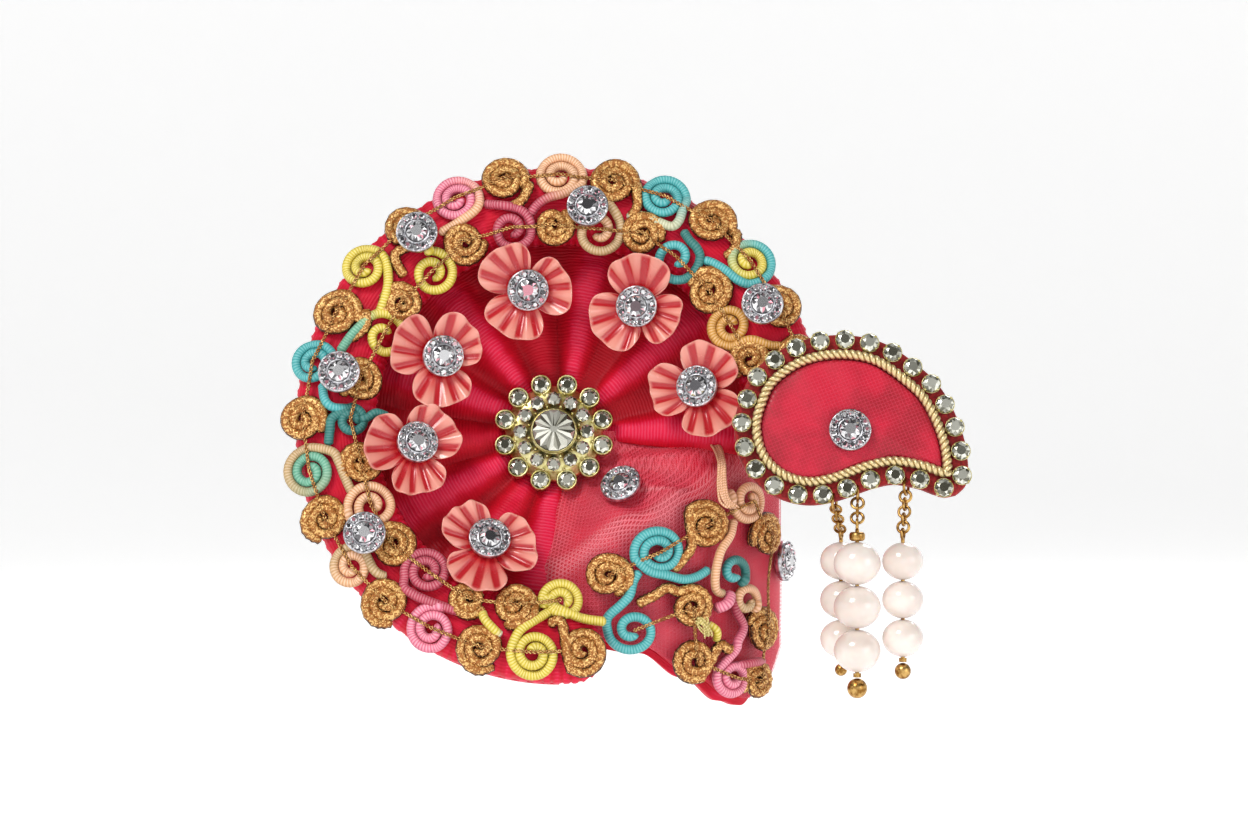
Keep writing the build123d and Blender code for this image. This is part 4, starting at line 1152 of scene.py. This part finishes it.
def button_parts():
    """The cup with its grains, and the stones, all at the origin with the face up."""
    rim = button_diameter / 2
    cup = [(0.0, 0.0), (rim - 0.5, 0.0), (rim - 0.06, 0.35), (rim, 0.8), (rim - 0.05, 1.25),
           (rim - 0.26, 1.36), (rim - 0.36, 1.15), (rim - 1.25, 1.12), (rim - 1.42, 1.42),
           (rim - 1.55, 1.40), (rim - 1.62, 0.9), (0.0, 0.9)]
    grain = lathe([(0.0, 0.0), (0.17, 0.05), (0.20, 0.22), (0.13, 0.36), (0.0, 0.40)], 8)
    metal = [lathe(cup, 52)]
    for reach in (2.94, 2.10):
        metal += ringed(grain, button_ring, reach, 1.08, 0.5)
    stones = ringed(brilliant(ring_stone, 0.72, 6), button_ring, 2.52, 0.93)
    return joined(metal), stones + [moved(brilliant(centre_stone, 1.05, 12), 0, 0, 0.92)]


def net_spot(across, out, step=0.06):
    """Axes and origin of the button on the net, square to the net there."""
    near = np.array([(0, 0), (step, 0), (-step, 0), (0, step), (0, -step)])
    spots = net_surface(across + near[:, 0], out + near[:, 1], 0.0)
    side = spots[1] - spots[2]
    normal = unit(np.cross(side, spots[3] - spots[4]))
    normal *= -np.sign(normal[1])
    side = unit(side)
    axes = np.stack([side, np.cross(normal, side), normal])
    return axes, spots[0] + normal * (0.5 + button_height * 0.8)


button_spots = [(axes, origin + flower_seat * axes[2]) for axes, origin in flower_spots]
for turn, share in rim_buttons:
    origin = polar(turn, disc_radius * share, trim_level)
    button_spots.append((turned(2, turn) @ disc_axes, origin))
button_spots.append(net_spot(*net_button))
side_axes = np.stack([on_band(side_turn + 90, 1, 0), [0, 0, 1], on_band(side_turn, 1, 0)])
origin = on_band(side_turn, band_radius + side_stand, side_height * band_height)
button_spots.append((side_axes, origin))
button_spots.append((disc_axes, on_disc(*kalgi_button, kalgi_face + 1.05)))
(metal_points, metal_faces), button_stones = button_parts()
for number, (axes, origin) in enumerate(button_spots, 1):
    piece(f"button_{number}_cup", metal_points @ axes + origin, metal_faces, silver,
          "silver_metal", [f"button_{number}"], outward=True)
set_stones = [(points @ axes + origin, faces) for axes, origin in button_spots
              for points, faces in button_stones]
faceted("button_rhinestones", set_stones, crystal, 5, "button_stones")

# Brooch: a cast flower in pale greenish gold with milled bezel edges. Twelve bezel-set stones go
# round twelve grain-set ones, and a faceted centre stone stands highest.
brooch_diameter = 19.0
brooch_plate = 1.2
brooch_level = -dish_depth + 2.15
brooch_stones = 12
outer_reach = brooch_diameter * 0.415
inner_reach = brooch_diameter * 0.275
brooch_origin = on_disc(-1.0, -0.8, brooch_level)


def bezel(radius, wall, height, sides):
    """Thin cup edge: a rounded ring wall with a fine milled ripple outside."""
    profile = np.array([(radius - 0.05, 0.0), (radius + wall, 0.0), (radius + wall, height - 0.12),
                        (radius + wall * 0.7, height), (radius + wall * 0.25, height),
                        (radius, height - 0.10)])
    return lathe(profile, sides, 0.03 * (profile[:, 0] > radius + wall * 0.5))


def brooch_parts():
    """The cast metal's shapes, and the stones of each of the three kinds."""
    inner_top = brooch_plate + 1.0
    plate = [(0.0, -1.0), (3.5, -1.0), (3.5, 0.0), (brooch_diameter * 0.40, 0.0),
             (brooch_diameter * 0.405, 0.5), (brooch_diameter * 0.39, 0.95),
             (brooch_diameter * 0.35, 1.25), (brooch_diameter * 0.335, inner_top - 0.45),
             (brooch_diameter * 0.32, inner_top - 0.3), (brooch_diameter * 0.19, inner_top - 0.25),
             (3.66, inner_top + 0.2), (3.30, inner_top + 0.2), (3.2, inner_top - 0.4),
             (0.0, inner_top - 0.4)]
    cup = lathe([(0, 0), (1.25, 0), (1.58, 0.4), (1.52, 1.15), (0, 1.15)], 32)
    grain = lathe([(0, 0), (0.24, 0.05), (0.26, 0.30), (0.15, 0.48), (0, 0.52)], 8)
    metal = [lathe(plate, 96), moved(bezel(3.28, 0.26, 0.70, 64), 0, 0, inner_top)]
    for shape, reach, out in ((cup, outer_reach, 0.0),
                              (bezel(1.32, 0.28, 0.80, 36), outer_reach, 1.0),
                              (grain, inner_reach - 1.15, inner_top - 0.35),
                              (grain, inner_reach + 1.05, inner_top - 0.35)):
        metal += ringed(shape, brooch_stones, reach, out, 0.5)
    outer = ringed(brilliant(2.60, 0.90, 8), brooch_stones, outer_reach, 1.15, 0.5)
    inner = ringed(brilliant(2.25, 0.95, 8), brooch_stones, inner_reach, inner_top - 0.45)
    centre = moved(brilliant(6.6, 2.0, 14, 0.16), 0, 0, inner_top - 0.35)
    return joined(metal), (outer, inner, [centre])


gold_grain = grain_look((170, 156, 84), (238, 230, 172), (1300, 3), (260, 2), 0.6, (0.24, 0.2),
                        (0.00004, 0.4))
pale_gold = material("pale_gold", gold_grain, Metallic=1.0)
smoky_crystal = material("smoky_crystal", gem_look((96, 94, 78), (240, 240, 226), 0.15, 0.05, 0.0),
                         Metallic=0.7, Coat_Weight=1.0, Coat_Roughness=0.03)
(points, faces), brooch_gems = brooch_parts()
piece("brooch_cast", points @ disc_axes + brooch_origin, faces, pale_gold, "pale_gold",
      ["brooch_setting"], outward=True)
for seed, name, node, gems in zip((11, 12, 13), ("outer", "inner", "centre"),
                                  ("outer_stones", "inner_stones", "centre_stone"), brooch_gems):
    gems = [(points @ disc_axes + brooch_origin, faces) for points, faces in gems]
    faceted(f"brooch_{name}_gems", gems, smoky_crystal, seed, f"brooch_{node}")

# Kalgi: a paisley of stiff board covered in red felt, with a satin panel under net, a twisted
# gold rope sewn round it, and twenty-five cup-set stones standing round the rope.
rope_diameter = 1.5
rope_count = 620
rope_turns = 43
rope_swing = 0.40
outline_count = 200
kalgi_stone = 2.8
kalgi_stones = 25
stone_row = rope_diameter / 2 + kalgi_stone / 2 + 0.1
stone_start = 0.13
board_edge = stone_row + kalgi_stone * 0.38
# across and up, both shares of kalgi_length, round the rope's line from its left end
paisley = np.array([
    (0.000, 0.240), (0.030, 0.370), (0.090, 0.480), (0.235, 0.580), (0.415, 0.618),
    (0.600, 0.590), (0.755, 0.487), (0.865, 0.370), (0.945, 0.180), (0.965, 0.010),
    (0.940, 0.000), (0.845, 0.035), (0.700, 0.060), (0.560, 0.035), (0.375, -0.030),
    (0.245, -0.045), (0.120, 0.000), (0.030, 0.100)]) * kalgi_length


def paisley_line(offset, count, start=0.0):
    """Closed cubic curve through the table's points, pushed out by offset and evenly spaced."""
    line = cubic(paisley, 12, True)
    along = unit(np.roll(line, -3, 0) - np.roll(line, 3, 0))
    pushed = line + np.stack([-along[:, 1], along[:, 0]], axis=1) * offset
    if offset < 0:
        near = np.linalg.norm(pushed[:, None] - line[None], axis=2).min(axis=1)
        pushed = pushed[near > 0.97 * abs(offset)]
    closed = np.vstack([pushed, pushed[:1]])
    run = span(closed)
    return at_lengths(closed, run, (np.arange(count) + start) * run[-1] / count)


def kalgi_place(points, level):
    """Points given from the kalgi's corner, put on the disc's plane at a level."""
    return on_disc(kalgi_corner[0] + points[..., 0], kalgi_corner[1] + points[..., 1],
                   level + points[..., 2])


def pillow(line, base, edge, crown, rings=14):
    """Closed plate with rounded edges whose face swells from its edge to a crown."""
    middle = line.mean(axis=0) + np.array([0, 0.8])
    share = np.linspace(0, 1, rings)
    reach = np.concatenate([[pole], share[1:-1], [0.985, 1.0, 1.0, 0.985, pole]])
    top = edge + crown * (1 - share[:-1] ** 2.2)
    level = np.concatenate([top, [edge * 0.93, edge * 0.75, edge * 0.2 + base, base, base]])
    flat = middle + (line - middle) * reach[:, None, None]
    level = np.broadcast_to(level[:, None, None], (*flat.shape[:2], 1))
    return np.concatenate([flat, level], axis=2), tube_faces(*flat.shape[:2])


def panel_look(wire):
    """Satin under net: a fine diagonal grid of paler threads, with soft waves in the satin."""
    along, across = wire.field("weave", 0, 1)
    cell = 2 * math.pi / 0.58
    warp = ((along + across * 0.4) * cell).wave()
    weft = ((across - along * 0.4) * cell).wave()
    thread = warp.most(weft).between(0.80, 0.99)
    drift = wire.noise(150, 3)
    satin = drift.between(0.35, 0.65).blend(tint(160, 2, 30), tint(202, 8, 48))
    colour = (thread * 0.34).blend(satin, tint(234, 58, 92))
    return {"Base Color": colour, "Roughness": 0.38 + thread * 0.25,
            "Bump": (thread * 0.8 + drift, 0.00008, 0.7)}


def rope_look(wire):
    fine = wire.noise(2200, 2)
    # Painted highlight on the crest of each strand and painted shade down its sides, with fine
    # noise.
    colour = (wire.field("cord", 1)[0].wave() * 0.6 + fine * 0.4).between(0.25, 0.75)
    return {"Base Color": colour.blend(tint(92, 70, 36), tint(226, 204, 154)),
            "Roughness": 0.24 + fine * 0.2, "Bump": (fine, 0.00003, 0.5)}


def rope_strands():
    """Two round strands that twist about the paisley's line, each closed on itself."""
    line = paisley_line(0.0, rope_count)
    along = unit(np.roll(line, -1, 0) - np.roll(line, 1, 0))
    side = np.stack([-along[:, 1], along[:, 0]], axis=1)
    made = []
    for phase in (0.0, np.pi):
        twist = 2 * np.pi * rope_turns * np.arange(rope_count)[:, None] / rope_count + phase
        strand = np.hstack([line + side * rope_swing * np.cos(twist),
                            rope_diameter / 2 + rope_swing * np.sin(twist)])
        strand = kalgi_place(np.vstack([strand, strand[:1]]), kalgi_face + 0.05)
        made.append(cord_tube(strand, np.broadcast_to(disc_axes[2], strand.shape), rope_swing))
    return joined(made)


felt_grain = grain_look((120, 14, 20), (176, 34, 38), (2600, 4), (300, 2), 0.7, (0.8, 0.1),
                        (0.0001, 0.8))
red_felt = material("red_felt", felt_grain, Sheen_Weight=0.12)
points, faces = pillow(paisley_line(board_edge, outline_count), 0.0, kalgi_board, 0.0, 8)
piece("kalgi_felt", kalgi_place(points, kalgi_level), faces, red_felt, "board_felt",
      ["kalgi_board"], outward=True)
inner_line = paisley_line(-rope_diameter / 2 - 0.05, outline_count)
points, faces = pillow(inner_line, 0.0, 0.35, 0.55)
wrinkle = 0.06 * np.sin(points[..., 0] * 0.9 + points[..., 1] * 0.5)
points[..., 2] += wrinkle * (points[..., 2] > 0.3)
net_satin = material("satin_under_net", panel_look, Sheen_Weight=0.06)
panel = piece("kalgi_satin", kalgi_place(points, kalgi_face + 0.1), faces, net_satin,
              "panel_cloth", ["kalgi_panel"], outward=True, weave=points)
points, faces, field = rope_strands()
piece("kalgi_twist", points, faces, material("gold_rope", rope_look, Metallic=0.75), "gold_rope",
      ["kalgi_rope"], cord=field)
cup_shapes, gem_shapes = [], []
cup = lathe([(0, 0), (1.1, 0), (1.40, 0.5), (1.50, 1.0), (1.42, 1.08), (1.3, 0.6), (0, 0.5)], 24)
claw = lathe([(0, 0), (0.20, 0), (0.22, 1.15), (0.15, 1.35), (0, 1.42)], 8)
setting = joined([cup] + ringed(claw, 4, 1.33, 0.0, 0.5))
for x, y in paisley_line(stone_row, kalgi_stones, stone_start):
    cup_shapes.append(moved(setting, x, y, 0.1))
    points, faces = moved(brilliant(kalgi_stone + 0.05, 1.15, 8), x, y, 0.55)
    gem_shapes.append((kalgi_place(points, kalgi_face), faces))
points, faces = joined(cup_shapes)
piece("kalgi_cups", kalgi_place(points, kalgi_face), faces, pale_gold, "pale_gold",
      ["kalgi_stones"], outward=True)
faceted("kalgi_gems", gem_shapes, smoky_crystal, 23, "kalgi_stones")

# Pearl drops: three strings of coated glass pearls on headed gold pins, hung from the kalgi's
# lower edge by small gold links. The links, pins and end beads are the frame's own solids.
pearl_diameter = 7.1
pearl_flat = 0.91
pearl_hole = 0.45
pearl_gap = 0.15
# string, across, front, level of the top pearl, diameter share
strings = [("front", 37.2, -36.1, -16.5, 1.00), ("right", 44.2, -34.9, -16.2, 0.88),
           ("back", 35.2, -29.5, -16.4, 0.90)]


def pearl_look(wire):
    """Pearl coat: creamy white, in soft patches, with a rosy cast from the sheen."""
    drift = wire.noise(160, 3)
    fine = wire.noise(900, 3)
    colour = drift.between(0.35, 0.65).blend(tint(226, 212, 202), tint(242, 232, 224))
    return {"Base Color": colour, "Roughness": 0.16 + fine * 0.10,
            "Bump": (fine + drift, 0.00004, 0.3)}


def bead(radius):
    """Flattened round bead with an open hole: up the hole's wall and down outside."""
    half = radius * pearl_flat
    angle = np.linspace(0, np.pi, 41)[1:-1]
    angle = angle[np.sin(angle) * radius > pearl_hole]
    hole = half * math.sqrt(1 - (pearl_hole / radius) ** 2) * np.linspace(-1, 1, 5)
    reach = np.concatenate([0 * hole + pearl_hole, radius * np.sin(angle)])
    height = np.concatenate([hole, half * np.cos(angle)])
    return lathe(np.stack([reach, height], axis=1), 64, 0 * reach)


pearl_coat = material("pearl_coat", pearl_look, Coat_Weight=0.8, Coat_Roughness=0.06,
                      Subsurface_Weight=0.15, Subsurface_Scale=0.002, Sheen_Weight=0.25,
                      Sheen_Tint=(1.0, 0.82, 0.86), Specular_IOR_Level=0.6)
for name, x, y, top, share in strings:
    radius = pearl_diameter * share / 2
    points, faces = bead(radius)
    for number in range(3):
        level = top - number * (2 * radius * pearl_flat + pearl_gap)
        pearl = f"pearl_{name}_{number + 1}"
        piece(f"{pearl}_coated", points + np.array([x, y, level]), faces, pearl_coat, "pearl",
              [pearl], outward=True)
link_grain = grain_look((142, 100, 46), (212, 172, 104), (1400, 2), (1400, 2), 1.0, (0.22, 0.15),
                        (0.00003, 0.4))
gold_metal = material("gold_metal", link_grain, Metallic=1.0)
for node in ("drop_links", "drop_end_beads", "drop_pin_front", "drop_pin_right", "drop_pin_back"):
    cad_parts[node].data.materials.clear()
    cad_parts[node].data.materials.append(gold_metal)
